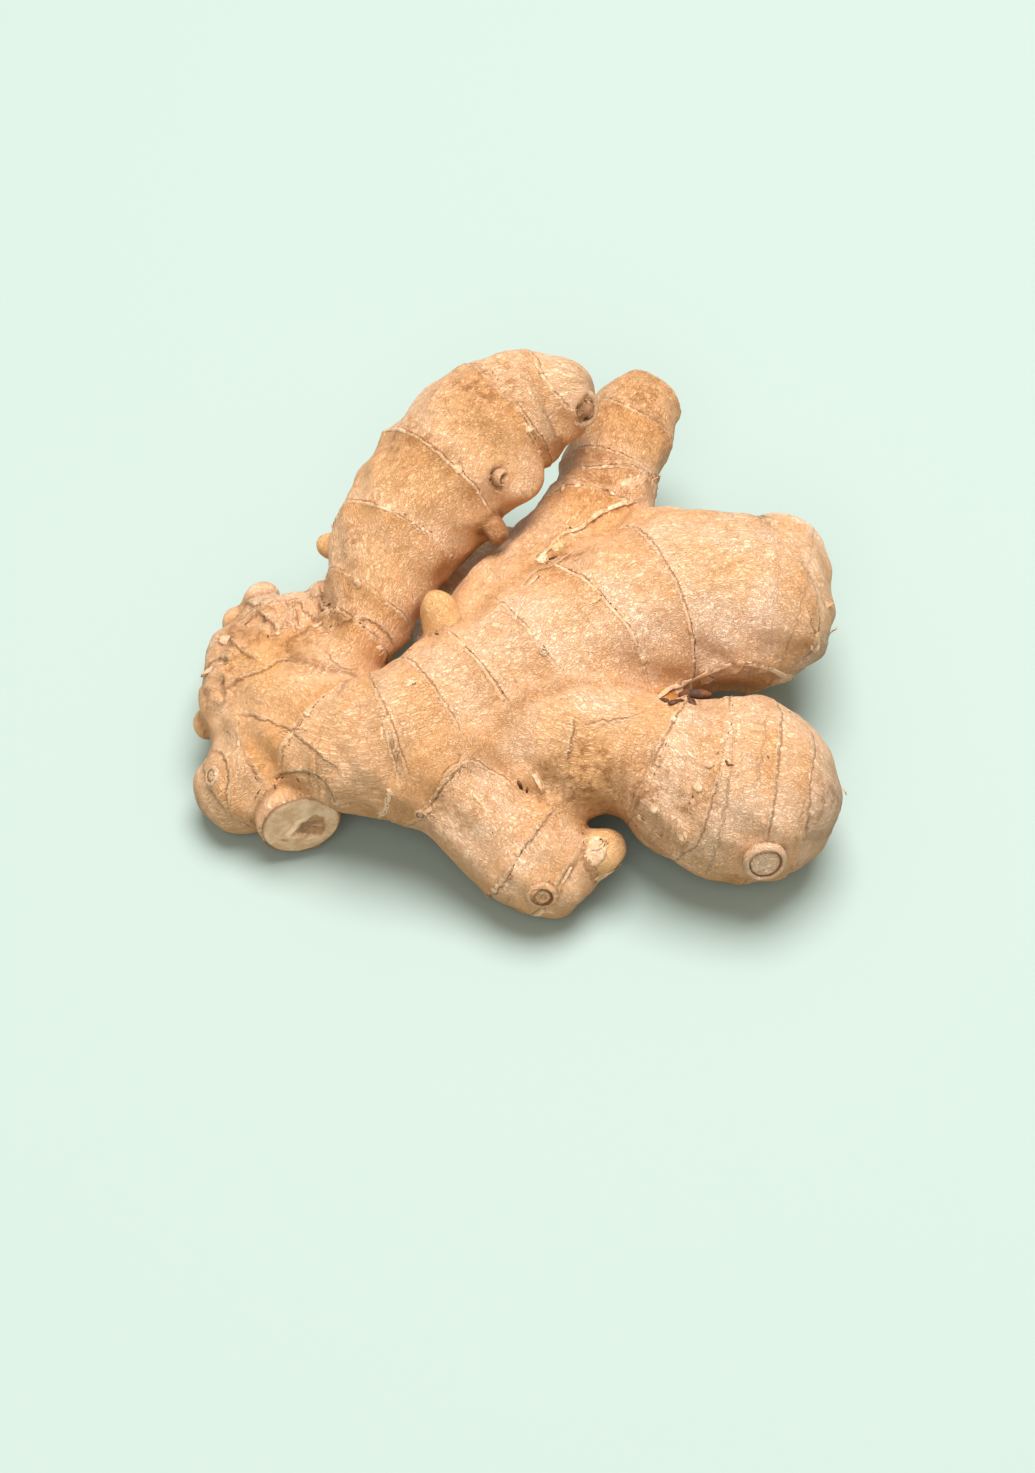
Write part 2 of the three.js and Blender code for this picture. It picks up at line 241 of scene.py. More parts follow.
# Rows of balls along an axis, mm: x, y, z, radius. A scar is its distance along the axis, how far
# it leans, the side it leans towards in degrees, and its height. A flat end is how far it lies past
# the last ball, and the radius and depth of its dish. Kin lobes share one grain.
lobeRows = {
    "heart": {
        "path": [
            (-54, -14.5, 16, 12.6), (-45.5, -20, 18, 13.6), (-34.5, -30.5, 21, 13.2),
            (-24.5, -30.5, 23, 15.2), (-15, -25, 24, 15.5), (-3.5, -19, 25, 16.4), (9, -10, 26.5, 17.4),
            (21.5, -2.5, 27.5, 18), (36.5, 2.5, 27.5, 18.4), (47.5, 4, 26.5, 18.5), (51.5, 3, 25, 15.8),
        ],
        "scars": [
            (20, 1.5, 180, 0.5), (32.5, 2.5, 180, 0.4), (42.5, 2.3, 187, 0.8), (53, 3.2, 228, 0.8),
            (67.5, 0.8, 180, 0.8), (83.5, 3.5, 270, 0.5), (98, 3, 255, 0.8), (119, 14, 245, 0.6),
        ],
        "blend": 4,
    },
    "heartShoulder": {"path": [(26, 3, 27, 12.7), (32, 14, 29, 11.5)], "blend": 5, "kin": "heart"},
    "heartBrow": {"path": [(48, 5.5, 26, 12.7), (56, 14.5, 27, 10.7)], "blend": 5, "kin": "heart"},
    "rightLobe": {
        "path": [
            (2.5, -29.5, 24, 12), (12, -33, 24, 12.8), (22, -34, 23, 12.7), (30.5, -36, 21.5, 14),
            (38.5, -39, 20, 17), (46, -39.5, 18.6, 19.3), (48.4, -40, 18.4, 18.2),
        ],
        "scars": [(26.5, 0.8, 190, 0.8), (35.5, 3.2, 148, 0.7), (49, 2, 230, 0.4), (56, 4, 240, 0.4)],
        "blend": 8,
    },
    "frontFinger": {
        "path": [
            (-16, -37, 22, 11.3), (-9, -43.4, 17.5, 10.6), (-1.5, -48.4, 13.2, 11.4),
            (3.5, -51.8, 11, 11.6), (6.5, -52.8, 9.8, 10.2),
        ],
        "scars": [(2.5, 2, 270, 0.4), (23.3, 1.2, 240, 0.7), (32, 1.5, 180, 0.5)],
        "blend": 7,
    },
    "backFinger": {
        "path": [
            (-10, -17, 23, 13), (-3, -3, 24.5, 13.8), (8, 13, 24.8, 13), (17.6, 30.3, 27.6, 11),
            (20.8, 41.5, 29.2, 10.3), (24.2, 50.6, 30.5, 9.9), (26.6, 55.1, 31, 8.9),
        ],
        "scars": [
            (50, 4.5, 238, 0.7), (56.2, 5, 238, 0.9), (62.6, 0.6, 150, 0.7), (75, 0.8, 180, 0.5),
            (86, 3, 180, 0.4),
        ],
        "blend": 5,
    },
    "heartFlank": {
        "path": [(-11, -9, 15, 11.5), (-12, 3, 12.5, 11), (-9, 15, 12.4, 11), (-2, 26, 11, 10.5)],
        "blend": 5,
        "kin": "heart",
    },
    "raisedFinger": {
        "path": [
            (-41.5, -15, 21, 11), (-35, -9, 24.5, 7.8), (-32, -4, 27.5, 8.4), (-29.5, 4, 31, 10.7),
            (-25, 15.8, 35, 13.8), (-16.3, 26.6, 40.4, 15.5), (-6.3, 36.2, 46, 14.4),
            (1.8, 40.4, 48.4, 11.9), (6.6, 40.2, 50.4, 9.8),
        ],
        "scars": [
            (14, 3, 130, 0.5), (20.5, 3.8, 130, 0.8), (34.9, 4, 210, 0.8), (52, 3.2, 190, 0.8),
            (74, 1.2, 300, 0.7), (86, 4.5, 270, 0.6),
        ],
        "blend": 2.5,
    },
    "fingerBelly": {"path": [(-9, 30, 43, 10.5), (-2, 24, 44.5, 7)], "blend": 3, "kin": "raisedFinger"},
    "leftKnuckle": {
        "path": [(-43.5, -14, 17, 10.5), (-49, 1, 15, 12.4)],
        "scars": [(9, 1, 90, 0.4), (18, 1.5, 90, 0.5)],
        "blend": 5,
    },
    "knuckleWeb": {"path": [(-41, -6, 17, 8.5), (-40, 1, 18.5, 8)], "blend": 3, "kin": "leftKnuckle"},
    "sideKnuckle": {
        "path": [(-48, -9.7, 15, 11), (-56.5, -2.5, 12, 10.5)],
        "scars": [(9, 1, 0, 0.4), (16, 1, 0, 0.5)],
        "blend": 5,
    },
    "leftToe": {
        "path": [
            (-43.5, -23.5, 16.5, 11.6), (-51.5, -28.3, 12.5, 11.9), (-56, -30.8, 9.8, 10.7),
            (-58.5, -31.2, 8.6, 9.2),
        ],
        "scars": [(12, 1, 40, 0.5), (20.5, 1, 200, 0.5)],
        "blend": 5,
    },
    "cutStub": {
        "path": [(-49, -27, 10.5, 10), (-47, -34.6, 10.4, 9.2), (-45, -42.1, 10.8, 8.6)],
        "scars": [(10.5, 0.8, 0, 0.7)],
        "blend": 2.5,
        "flatEnd": (0.8, 5.2, 1),
    },
    "heel": {
        "path": [(8, 8, 22, 13), (12, 20, 17, 12), (14, 28, 11, 11.8)],
        "scars": [(12, 1, 0, 0.7), (22, 1, 0, 0.7)],
        "blend": 4,
    },
    "budBackKnob": {"path": [(-54, 7, 15, 5), (-55, 12, 17.3, 4.1)], "blend": 1},
    "budFold": {
        "path": [(-42.5, 2, 20.5, 4.2), (-42, 6.5, 22.4, 3.2), (-41.7, 9.4, 23.6, 2.7)],
        "blend": 1,
    },
    "budBackSide": {"path": [(-57, 5.5, 13.5, 5), (-60, 8.3, 14.2, 3.7)], "blend": 1},
    "budLeft": {"path": [(-61, -16.5, 12, 4), (-65, -16, 11.5, 3.4)], "blend": 0.6},
    "budFingerSide": {"path": [(-36, 15, 31, 4), (-39.2, 17, 30, 3.2)], "blend": 0.6},
    "budGap": {
        "path": [(-13.5, -10.5, 31, 3.6), (-15.5, -8, 34.5, 4.2), (-16.6, -6.2, 36.4, 3.9)],
        "blend": 0.5,
    },
    "rootStubUnder": {
        "path": [(-7, 16.5, 40.5, 2.4), (-3.2, 11.3, 39, 1.8)],
        "blend": 0.8,
        "flatEnd": (0.4, 1, 0.3),
    },
    "eyeRightLobe": {
        "path": [(49.4, -55, 19.6, 4.2), (50.1, -59.2, 20.4, 3.9)],
        "blend": 0.4,
        "flatEnd": (0.6, 3, 0.9),
    },
    "eyeFrontFinger": {
        "path": [(5, -60, 13.2, 2.9), (5, -63.4, 14.1, 2.7)],
        "blend": 0.4,
        "flatEnd": (0.4, 1.9, 0.8),
    },
    "eyeRaisedFinger": {
        "path": [(12.8, 36.8, 51.8, 2.9), (14.7, 35.1, 53, 2.6)],
        "blend": 0.4,
        "flatEnd": (0.4, 2, 1.3),
    },
    "pegRaisedFinger": {
        "path": [(-5.4, 21.2, 48.2, 2.2), (-3.3, 19.2, 49.2, 1.8)],
        "blend": 0.6,
        "flatEnd": (0.7, 1.2, 0.4),
    },
    "budFront": {
        "path": [(10, -52.5, 11.5, 6.5), (15.5, -51.3, 12.5, 5.3), (17.7, -50.3, 12.7, 4.4)],
        "scars": [(4.5, 0.5, 0, 0.5)],
        "blend": 0.8,
    },
}

growth = {
    "sampleStep": 1.5,  # along an axis
    "farAway": 8,  # a lobe further off has no say in the skin
    "scarRise": 2.6,
    "scarDrop": 0.5,
    "scarWaver": 0.35,
    "scarJag": 0.32,  # how ragged a scar's edge is
    "scarShare": 0.5,  # share of the height of a scar, whose edge is crisper here
    "scarGroove": 0.17,  # depth of the groove just past a scar
    "scarBend": 1.3,
    "lumpHeight": 0.55,
    "lumpLength": 17,
}


def hermite(b, c, leave, arrive, w):
    return b + leave * w + (3 * (c - b) - 2 * leave - arrive) * w**2 + (2 * (b - c) + leave + arrive) * w**3


def splinePoint(points, t):  # centripetal Catmull-Rom
    last = len(points) - 1
    i = min(int(t * last), last - 1)
    b, c = points[i], points[i + 1]
    a = points[i - 1] if i > 0 else 2 * b - c
    d = points[i + 2] if i + 2 <= last else 2 * c - b
    ab, bc, cd = (np.sum((q - p) ** 2) ** 0.25 for p, q in ((a, b), (b, c), (c, d)))
    leave = ((b - a) / ab - (c - a) / (ab + bc) + (c - b) / bc) * bc
    arrive = ((c - b) / bc - (d - b) / (bc + cd) + (d - c) / cd) * bc
    return hermite(b, c, leave, arrive, t * last - i)


def splineRadius(radii, t):
    last = len(radii) - 1
    i = min(int(t * last), last - 1)
    b, c = radii[i], radii[i + 1]
    leave = (c - radii[max(i - 1, 0)]) / 2
    arrive = (radii[min(i + 2, last)] - b) / 2
    return hermite(b, c, leave, arrive, t * last - i)


def unit(vector):
    return vector / np.linalg.norm(vector)


def dots(first, second):  # row by row
    return np.einsum("ij,ij->i", first, second)


# Samples of a lobe's axis, with its arc length, its radius and a frame that doesn't twist
def traceLobe(name, row):
    balls = np.array([ball[:3] for ball in row["path"]], float)
    radii = [ball[3] for ball in row["path"]]
    ticks = np.linspace(0, 1, 201)
    track = np.array([splinePoint(balls, t) for t in ticks])
    lengths = np.concatenate([[0], np.cumsum(np.linalg.norm(np.diff(track, axis=0), axis=1))])
    length = lengths[-1]
    along = np.linspace(0, length, math.ceil(length / growth["sampleStep"]) + 1)
    times = np.interp(along, lengths, ticks)
    nudge = 0.0001
    tangents = [
        unit(splinePoint(balls, min(t + nudge, 1)) - splinePoint(balls, max(t - nudge, 0))) for t in times
    ]
    start = np.eye(3)[np.argmin(np.abs(tangents[0]))]
    normals = [np.cross(tangents[0], unit(np.cross(tangents[0], start)))]
    for before, after in zip(tangents, tangents[1:]):
        turn = np.cross(before, after)
        bend = np.linalg.norm(turn)
        last = normals[-1]
        if bend > 1e-9:
            axis = turn / bend
            angle = math.acos(np.clip(before @ after, -1, 1))
            across = np.cross(axis, last) * math.sin(angle)
            last = last * math.cos(angle) + across + axis * (axis @ last) * (1 - math.cos(angle))
        normals.append(last)
    centres = np.array([splinePoint(balls, t) for t in times])
    sizes = np.array([splineRadius(radii, t) for t in times])
    middle = splinePoint(balls, float(np.interp(length / 2, lengths, ticks)))
    return {
        "name": name,
        "centres": centres,
        "radii": sizes,
        "along": along,
        "length": length,
        "tangents": np.array(tangents),
        "normals": np.array(normals),
        "binormals": np.cross(tangents, normals),
        "middle": middle,
        "reach": np.max(np.linalg.norm(centres - middle, axis=1) + sizes),
        "scars": row.get("scars", []),
        "blend": row["blend"],
        "flatEnd": row.get("flatEnd"),
        "kin": row.get("kin", name),
    }


lobes = [traceLobe(name, row) for name, row in lobeRows.items()]
lobeNamed = {lobe["name"]: lobe for lobe in lobes}
kinNames = sorted({lobe["kin"] for lobe in lobes})


# A lobe at distances along it and angles round it: its middle, the way out, the way on, its radius
def onLobe(lobe, along, angle):
    centre, normal, sideways, way = (
        np.stack([np.interp(along, lobe["along"], lobe[key][:, axis]) for axis in range(3)], -1)
        for key in ("centres", "normals", "binormals", "tangents")
    )
    outward = np.cos(angle)[..., None] * normal + np.sin(angle)[..., None] * sideways
    return centre, outward, way, np.interp(along, lobe["along"], lobe["radii"])


# Where a lobe is nearest to each point: gap to its smooth skin, way out, distance along it and angle
def nearestOn(lobe, points):
    count = len(points)
    bestGap = np.full(count, np.inf)
    bestIndex = np.zeros(count, int)
    bestShare = np.zeros(count)
    centres, radii = lobe["centres"], lobe["radii"]
    for i in range(len(centres) - 1):
        step = centres[i + 1] - centres[i]
        offset = points - centres[i]
        share = offset @ step / (step @ step)
        t = np.clip(share, 0, 1)
        away = offset - t[:, None] * step
        gap = np.sqrt(dots(away, away)) - (radii[i] + t * (radii[i + 1] - radii[i]))
        better = gap < bestGap
        bestGap[better] = gap[better]
        bestIndex[better] = i
        bestShare[better] = share[better]
    steps = np.diff(centres, axis=0)[bestIndex]
    t = np.clip(bestShare, 0, 1)
    away = points - centres[bestIndex] - t[:, None] * steps
    slope = away / np.maximum(np.linalg.norm(away, axis=1), 1e-6)[:, None]
    along = lobe["along"][bestIndex] + bestShare * np.diff(lobe["along"])[bestIndex]
    index = np.where(t < 0.5, bestIndex, bestIndex + 1)
    offset = points - centres[index]
    angle = np.arctan2(dots(offset, lobe["binormals"][index]), dots(offset, lobe["normals"][index]))
    if lobe["flatEnd"]:
        past, radius, depth = lobe["flatEnd"]
        tangent = lobe["tangents"][-1]
        offset = points - centres[-1]
        ahead = offset @ tangent
        sideways = np.sqrt(np.maximum(0, dots(offset, offset) - ahead**2))
        endGap = ahead - past + depth * np.maximum(0, 1 - (sideways / radius) ** 2)
        onEnd = endGap > bestGap
        bestGap = np.where(onEnd, endGap, bestGap)
        slope[onEnd] = tangent
    return bestGap, slope, along, angle


# A jagged curve that closes on itself once round a lobe
def jag(angle, seed, teeth=70):
    random = np.random.default_rng(seed)
    turn = np.mod(np.asarray(angle) / (2 * math.pi), 1)
    total = 0
    for share, count in ((0.6, teeth // 4), (0.4, teeth)):
        heights = random.uniform(-1, 1, count)
        closed = np.append(heights, heights[0])
        total = total + share * np.interp(turn * count, np.arange(count + 1), closed)
    return total


def scarEdge(lobe, number, angle):  # where a scar's papery edge runs along its lobe
    place, lean, side, _ = lobe["scars"][number]
    stray = lean * np.cos(angle - math.radians(side)) + growth["scarWaver"] * np.sin(3 * angle + 0.5)
    return place + stray + growth["scarJag"] * jag(angle, 17 * number + len(lobe["name"]))


# The step of a sheath's edge: it rises up to the edge and drops just past it
def edgeStep(past):
    rise = np.clip(1 + past / growth["scarRise"], 0, 1) ** growth["scarBend"]
    return np.where(past < 0, rise, np.clip(1 - past / growth["scarDrop"], 0, 1))


def edgeGroove(past, middle, width):
    return growth["scarGroove"] * np.exp(-(((past - middle) / width) ** 2))


def scarRelief(lobe, along, angle):
    height = np.zeros(len(along))
    for number, scar in enumerate(lobe["scars"]):
        past = along - scarEdge(lobe, number, angle)
        step = scar[3] * growth["scarShare"] * edgeStep(past)
        height = np.maximum(height, step) - edgeGroove(past, 0.9, 0.45)
    return height


def lumpRelief(points):
    a = 2 * math.pi / growth["lumpLength"]
    x, y, z = points.T
    swell = np.sin(a * x + 1.7 * np.sin(a * 0.6 * y)) * np.cos(a * 0.9 * y + 1.1 * np.sin(a * 0.7 * z))
    return growth["lumpHeight"] * (swell + 0.4 * np.sin(a * 1.9 * z + a * 1.3 * x + 0.7))


# The skin near each point: its signed distance, the way out, and the two nearest families of lobes
def skinAt(points):
    count = len(points)
    distance = np.full(count, float(growth["farAway"]))
    slope = np.zeros((count, 3))
    kinGap = np.full((len(kinNames), count), np.inf)
    nearGap = np.full(count, np.inf)
    nearLobe = np.zeros(count, int)
    along = np.zeros(count)
    angle = np.zeros(count)
    for number, lobe in enumerate(lobes):
        far = np.linalg.norm(points - lobe["middle"], axis=1) - lobe["reach"]
        close = np.nonzero(far <= growth["farAway"])[0]
        if not len(close):
            continue
        gap, out, distanceAlong, turned = nearestOn(lobe, points[close])
        gap = gap - scarRelief(lobe, distanceAlong, turned)
        here = distance[close]
        h = np.clip(0.5 + 0.5 * (gap - here) / lobe["blend"], 0, 1)
        distance[close] = gap + (here - gap) * h - lobe["blend"] * h * (1 - h)
        slope[close] = out * (1 - h)[:, None] + slope[close] * h[:, None]
        kin = kinNames.index(lobe["kin"])
        kinGap[kin, close] = np.minimum(kinGap[kin, close], gap)
        picked = gap < nearGap[close]
        nearer = close[picked]
        nearGap[nearer] = gap[picked]
        nearLobe[nearer] = number
        along[nearer] = distanceAlong[picked]
        angle[nearer] = turned[picked]
    gaps = np.sort(kinGap, axis=0)
    return {
        "distance": distance - lumpRelief(points),
        "slope": slope,
        "valley": gaps[1] - gaps[0],
        "fill": distance - gaps[0],
        "lobe": nearLobe,
        "along": along,
        "angle": angle,
    }


def settleOnSkin(points, rounds=4):
    for _ in range(rounds):
        skin = skinAt(points)
        size = dots(skin["slope"], skin["slope"])
        step = np.clip(skin["distance"] / np.maximum(size, 0.35), -0.8, 0.8)
        points = points - skin["slope"] * step[:, None]
    return points, skin


# What the camera sees at a pixel of the photo, so that a detail can be named by where it shows


def pixelSpot(tree, pixel):
    eye, ahead, up = shotAxes()
    width, height = shot["size"]
    right = ahead.cross(up)
    way = ahead * shot["focal"] + right * (pixel[0] - width / 2) + up * (height / 2 - pixel[1])
    place, normal, _, _ = tree.ray_cast(eye, way.normalized())
    if place is None:
        print("no skin at pixel", pixel)
        return None
    return np.array(place), np.array(normal)


def pictureWay(degrees, normal):  # a direction across the picture, laid along the skin
    _, ahead, up = shotAxes()
    right = ahead.cross(up)
    way = np.array(right * math.cos(math.radians(degrees)) + up * math.sin(math.radians(degrees)))
    return unit(way - normal * (way @ normal))


# A line drawn through pixels, as points on the skin about a step apart
def pixelPath(tree, pixels, step=0.5, pixelsPerMm=4.7):
    corners = np.array(pixels, float)
    run = np.concatenate([[0], np.cumsum(np.linalg.norm(np.diff(corners, axis=0), axis=1))])
    shares = np.linspace(0, 1, len(run))
    lengths = np.linspace(0, 1, max(3, int(run[-1] / pixelsPerMm / step))) * run[-1]
    drawn = [splinePoint(corners, float(np.interp(length, run, shares))) for length in lengths]
    spots = [spot for spot in (pixelSpot(tree, pixel) for pixel in drawn) if spot is not None]
    return np.array([spot[0] for spot in spots]), np.array([spot[1] for spot in spots])


# The body of the root

body = {
    "voxel": 0.78,  # mm between vertices
    # Relief along the grain: how it is stretched, its scale, seed, height in mm, and the level it is
    # folded at, if it is
    "relief": ((0.32, 0.13, 5.3, 0.34, None), (0.32, 0.45, 3.1, 0.15, 0.2), (0.55, 0.9, 8.4, 0.07, 0.2)),
    "calmAt": 3,  # mm from a valley, where the relief is less
    "edgeReach": (2.2, 0.6),  # a scar or fold shows up to here, and fades out over this
    "darkBand": 4.5,  # length of the darker skin before a scar, and of the paler skin past it
    "paleBand": 6,
    "eyeSink": 1.2,  # room for the round scars
    "knobs": (2.8, 0.9),  # height of the folds and of the grit in a knobbly place
    "margin": (1.3, 0.2),  # near the CAD box the relief is flattened, and the skin drawn in
    "smoothBuds": ("budLeft", "budFingerSide", "budGap", "budFront"),
}

# Creases and loose edges between the scars: pixels they show at, height, and the side that is high
foldLines = {
    "heartToToe": {
        "pixels": [
            (227, 715), (249, 713), (266, 719), (286, 727), (306, 740), (327, 758), (339, 768),
            (343, 782),
        ],
        "height": 0.42,
        "high": 1,
    },
    "stubCollar": {
        "pixels": [(268, 778), (282, 772), (306, 770), (323, 778), (335, 795), (338, 812)],
        "height": 0.5,
        "high": 1,
    },
    "clusterOne": {"pixels": [(258, 608), (268, 618), (276, 626), (280, 636)], "height": 0.9, "high": 1},
    "clusterTwo": {"pixels": [(284, 602), (292, 612), (296, 624), (295, 636)], "height": 1.0, "high": -1},
    "clusterThree": {
        "pixels": [(300, 596), (304, 610), (316, 620), (330, 626)],
        "height": 0.9,
        "high": 1,
    },
    "clusterFour": {"pixels": [(230, 636), (238, 648), (250, 656), (262, 658)], "height": 0.8, "high": 1},
    "clusterFive": {"pixels": [(200, 676), (210, 664), (224, 658), (236, 662)], "height": 0.9, "high": 1},
    "clusterSix": {"pixels": [(316, 584), (322, 598), (328, 610), (332, 622)], "height": 1.0, "high": -1},
    "clusterSeven": {
        "pixels": [(244, 594), (250, 604), (262, 606), (274, 600)],
        "height": 0.8,
        "high": 1,
    },
    "heartToRight": {"pixels": [(573, 712), (571, 735), (565, 762)], "height": 0.3, "high": -1},
    "saddleLine": {
        "pixels": [(580, 729), (602, 722), (626, 719), (650, 711)],
        "height": 0.22,
        "high": -1,
    },
    "sheathFold": {
        "pixels": [(536, 562), (549, 549), (564, 535), (580, 529), (596, 516), (630, 502), (648, 497)],
        "height": 0.5,
        "high": 1,
    },
    "sheathFoldLow": {
        "pixels": [(520, 590), (535, 572), (553, 566), (575, 548)],
        "height": 0.3,
        "high": 1,
    },
    "rightEnd": {"pixels": [(806, 607), (815, 640), (822, 668), (808, 694)], "height": 0.45, "high": -1},
    "rightEndTop": {"pixels": [(797, 560), (812, 585), (818, 606)], "height": 0.3, "high": -1},
    "toeBand": {
        "pixels": [(190, 762), (205, 750), (222, 752), (230, 770), (228, 800), (232, 815)],
        "height": 0.3,
        "high": 1,
    },
    "knuckleRow": {
        "pixels": [(222, 690), (240, 678), (258, 672), (282, 660), (303, 662)],
        "height": 0.3,
        "high": 1,
    },
    "fingerRoot": {
        "pixels": [(333, 627), (352, 618), (375, 622), (393, 640), (398, 652)],
        "height": 0.35,
        "high": 1,
    },
    "fingerRootLow": {"pixels": [(322, 650), (338, 668), (360, 672)], "height": 0.3, "high": -1},
    "peeledEdge": {
        "pixels": [
            (655, 702), (672, 688), (700, 675), (728, 664), (748, 662), (772, 669), (790, 680),
            (802, 694),
        ],
        "height": 0.75,
        "high": 1,
    },
    "frontRoot": {
        "pixels": [(436, 790), (450, 768), (472, 762), (498, 776), (520, 792)],
        "height": 0.3,
        "high": -1,
    },
}

foldLook = {
    "reach": 3.5,  # mm to each side
    "ends": 0.18,  # share of its length over which a fold fades out
    "groove": 0.5,
    "jagStep": 0.055,
}

# Places on the skin: pixel, radius in mm, strength
skinPlaces = {
    # darker worn skin; a few spots, at the root of the raised finger and in the crevice under the upper
    # right lobe, are painted shade
    "weatheredAndShaded": [
        ((478, 388), 9, 0.9), ((405, 440), 7, 0.7), ((352, 540), 6, 0.6), ((250, 625), 8, 0.8),
        ((310, 640), 7, 0.6), ((588, 778), 9, 1.0), ((640, 790), 7, 0.9), ((530, 690), 6, 0.5),
        ((690, 806), 6, 0.6), ((450, 812), 7, 0.6), ((600, 478), 8, 0.8), ((640, 400), 16, 0.75),
        ((610, 455), 10, 0.5), ((560, 560), 7, 0.8), ((700, 690), 6, 0.7), ((830, 800), 7, 0.6),
        ((215, 680), 6, 0.8), ((440, 470), 6, 0.4), ((496, 530), 3.2, 2.6), ((395, 655), 6, 0.9),
        ((735, 695), 3, 1.5), ((765, 694), 2.6, 1.2), ((340, 610), 5, 0.8),
    ],
    "warm": [
        ((400, 480), 20, 0.85), ((480, 400), 18, 0.8), ((380, 590), 18, 0.85), ((545, 390), 12, 0.35),
        ((260, 660), 18, 0.8), ((220, 790), 16, 0.7), ((300, 740), 20, 0.8), ((410, 740), 18, 0.55),
        ((500, 690), 14, 0.3), ((640, 420), 20, 1.0), ((600, 490), 18, 0.9), ((540, 560), 12, 0.7),
        ((590, 770), 12, 0.7), ((830, 600), 9, 0.5),
    ],
    "knobbly": [
        ((250, 640), 7, 0.8), ((285, 618), 6, 1), ((320, 620), 5, 0.7), ((215, 680), 6, 0.9),
        ((600, 500), 8, 0.35),
    ],
    "bare": [
        ((672, 697), 3.2, 1), ((700, 690), 4.2, 1), ((728, 683), 4.4, 1), ((755, 684), 4.2, 1),
        ((780, 692), 3.2, 1),
    ],
}


def placeValues(tree, points, name):
    total = np.zeros(len(points))
    for pixel, radius, strength in skinPlaces[name]:
        spot = pixelSpot(tree, pixel)
        if spot is not None:
            gap = np.linalg.norm(points - spot[0], axis=1)
            total = np.maximum(total, strength * np.exp(-((gap / radius) ** 2)))
    return total


def vertexValues(mesh, name):
    flat = np.empty(len(mesh.vertices) * 3)
    mesh.vertices.foreach_get(name, flat)
    return flat.reshape(-1, 3)


def movePoints(mesh, points):
    mesh.vertices.foreach_set("co", points.astype(np.float32).ravel())
    mesh.update()


def storeValues(mesh, name, values):
    values = np.asarray(values, np.float32)
    kind, field = ("FLOAT_VECTOR", "vector") if values.ndim == 2 else ("FLOAT", "value")
    mesh.attributes.new(name, kind, "POINT").data.foreach_set(field, values.ravel())


def roughField(points, scale, seed):
    shift = Vector((seed, seed * 1.7, -seed))
    return np.array([noise.noise(Vector(p) * scale + shift) for p in points])


def surfaceTree(mesh):
    corners = [v.co / mm for v in mesh.vertices]
    return BVHTree.FromPolygons(corners, [tuple(p.vertices) for p in mesh.polygons])


def remeshedCopy():
    shape = bmesh.new()
    shape.from_mesh(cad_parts["ginger_root"].data)
    bmesh.ops.remove_doubles(shape, verts=shape.verts, dist=0.00001)
    mesh = bpy.data.meshes.new("gingerSkin")
    shape.to_mesh(mesh)
    shape.free()
    piece = addObject("gingerSkin", mesh)
    remesh = piece.modifiers.new("remesh", "REMESH")
    remesh.mode = "VOXEL"
    remesh.voxel_size = body["voxel"] * mm
    remesh.use_smooth_shade = True
    made = bpy.data.meshes.new_from_object(piece.evaluated_get(bpy.context.evaluated_depsgraph_get()))
    piece.modifiers.clear()
    piece.data = made
    made.name = "gingerSkin"
    return piece


# Texture coordinates that run along a lobe and round it, mm
def grainVectors(skin, points):
    grain = np.zeros((len(points), 3))
    for number, lobe in enumerate(lobes):
        source = lobeNamed[lobe["kin"]]
        mine = np.nonzero(skin["lobe"] == number)[0]
        if not len(mine):
            continue
        along, angle = skin["along"][mine], skin["angle"][mine]
        if source is not lobe:
            _, _, along, angle = nearestOn(source, points[mine])
        size = np.interp(along, source["along"], source["radii"])
        apart = kinNames.index(lobe["kin"]) * 7
        grain[mine] = np.stack([along + apart, size * np.cos(angle), size * np.sin(angle)], 1)
    return grain


def grainRelief(grain):
    total = 0
    for stretch, scale, seed, height, fold in body["relief"]:
        field = roughField(grain * (stretch, 1, 1), scale, seed)
        total = total + (field if fold is None else np.abs(field) - fold) * height
    return total


# Each vertex keeps its gap to the nearest scar or fold, and how strongly that shows
def noteEdge(edges, which, gap, strength):
    nearer = np.abs(gap) < np.abs(edges["gap"][which])
    reach, fade = body["edgeReach"]
    edges["gap"][which[nearer]] = gap[nearer]
    shown = strength * np.clip((reach - np.abs(gap)) / fade, 0, 1)
    edges["strength"][which[nearer]] = shown[nearer]


# A step along a drawn line: the vertices near it, height of the skin, gap past its edge, how strong
def foldRelief(points, path, normals, fold):
    low, high = path.min(axis=0) - 4, path.max(axis=0) + 4
    close = np.nonzero(np.all((points > low) & (points < high), axis=1))[0]
    sides = sideWays(path, normals)
    offsets = points[close][:, None] - path[None]
    gaps = np.einsum("ijk,ijk->ij", offsets, offsets)
    best = np.argmin(gaps, axis=1)
    nearest = np.arange(len(close)), best
    past = -dots(offsets[nearest], sides[best]) * fold["high"]
    past = past - growth["scarJag"] * jag(best * foldLook["jagStep"], len(path))
    ends = np.minimum(best, len(path) - 1 - best) / (foldLook["ends"] * len(path))
    fade = np.clip(ends, 0, 1) * (np.sqrt(gaps[nearest]) < foldLook["reach"])
    groove = foldLook["groove"] * edgeGroove(past, 0.8, 0.4)
    return close, fade * (fold["height"] * edgeStep(past) - groove), past, fade


def sideWays(path, normals):  # across a line on the skin
    sides = np.cross(normals, np.gradient(path, axis=0))
    return sides / np.linalg.norm(sides, axis=1)[:, None]


# Ragged and broken here and there, as a sheath's edge is
def brokenEdge(angle, k, number):
    return jag(angle, 91 * k + number, 26)


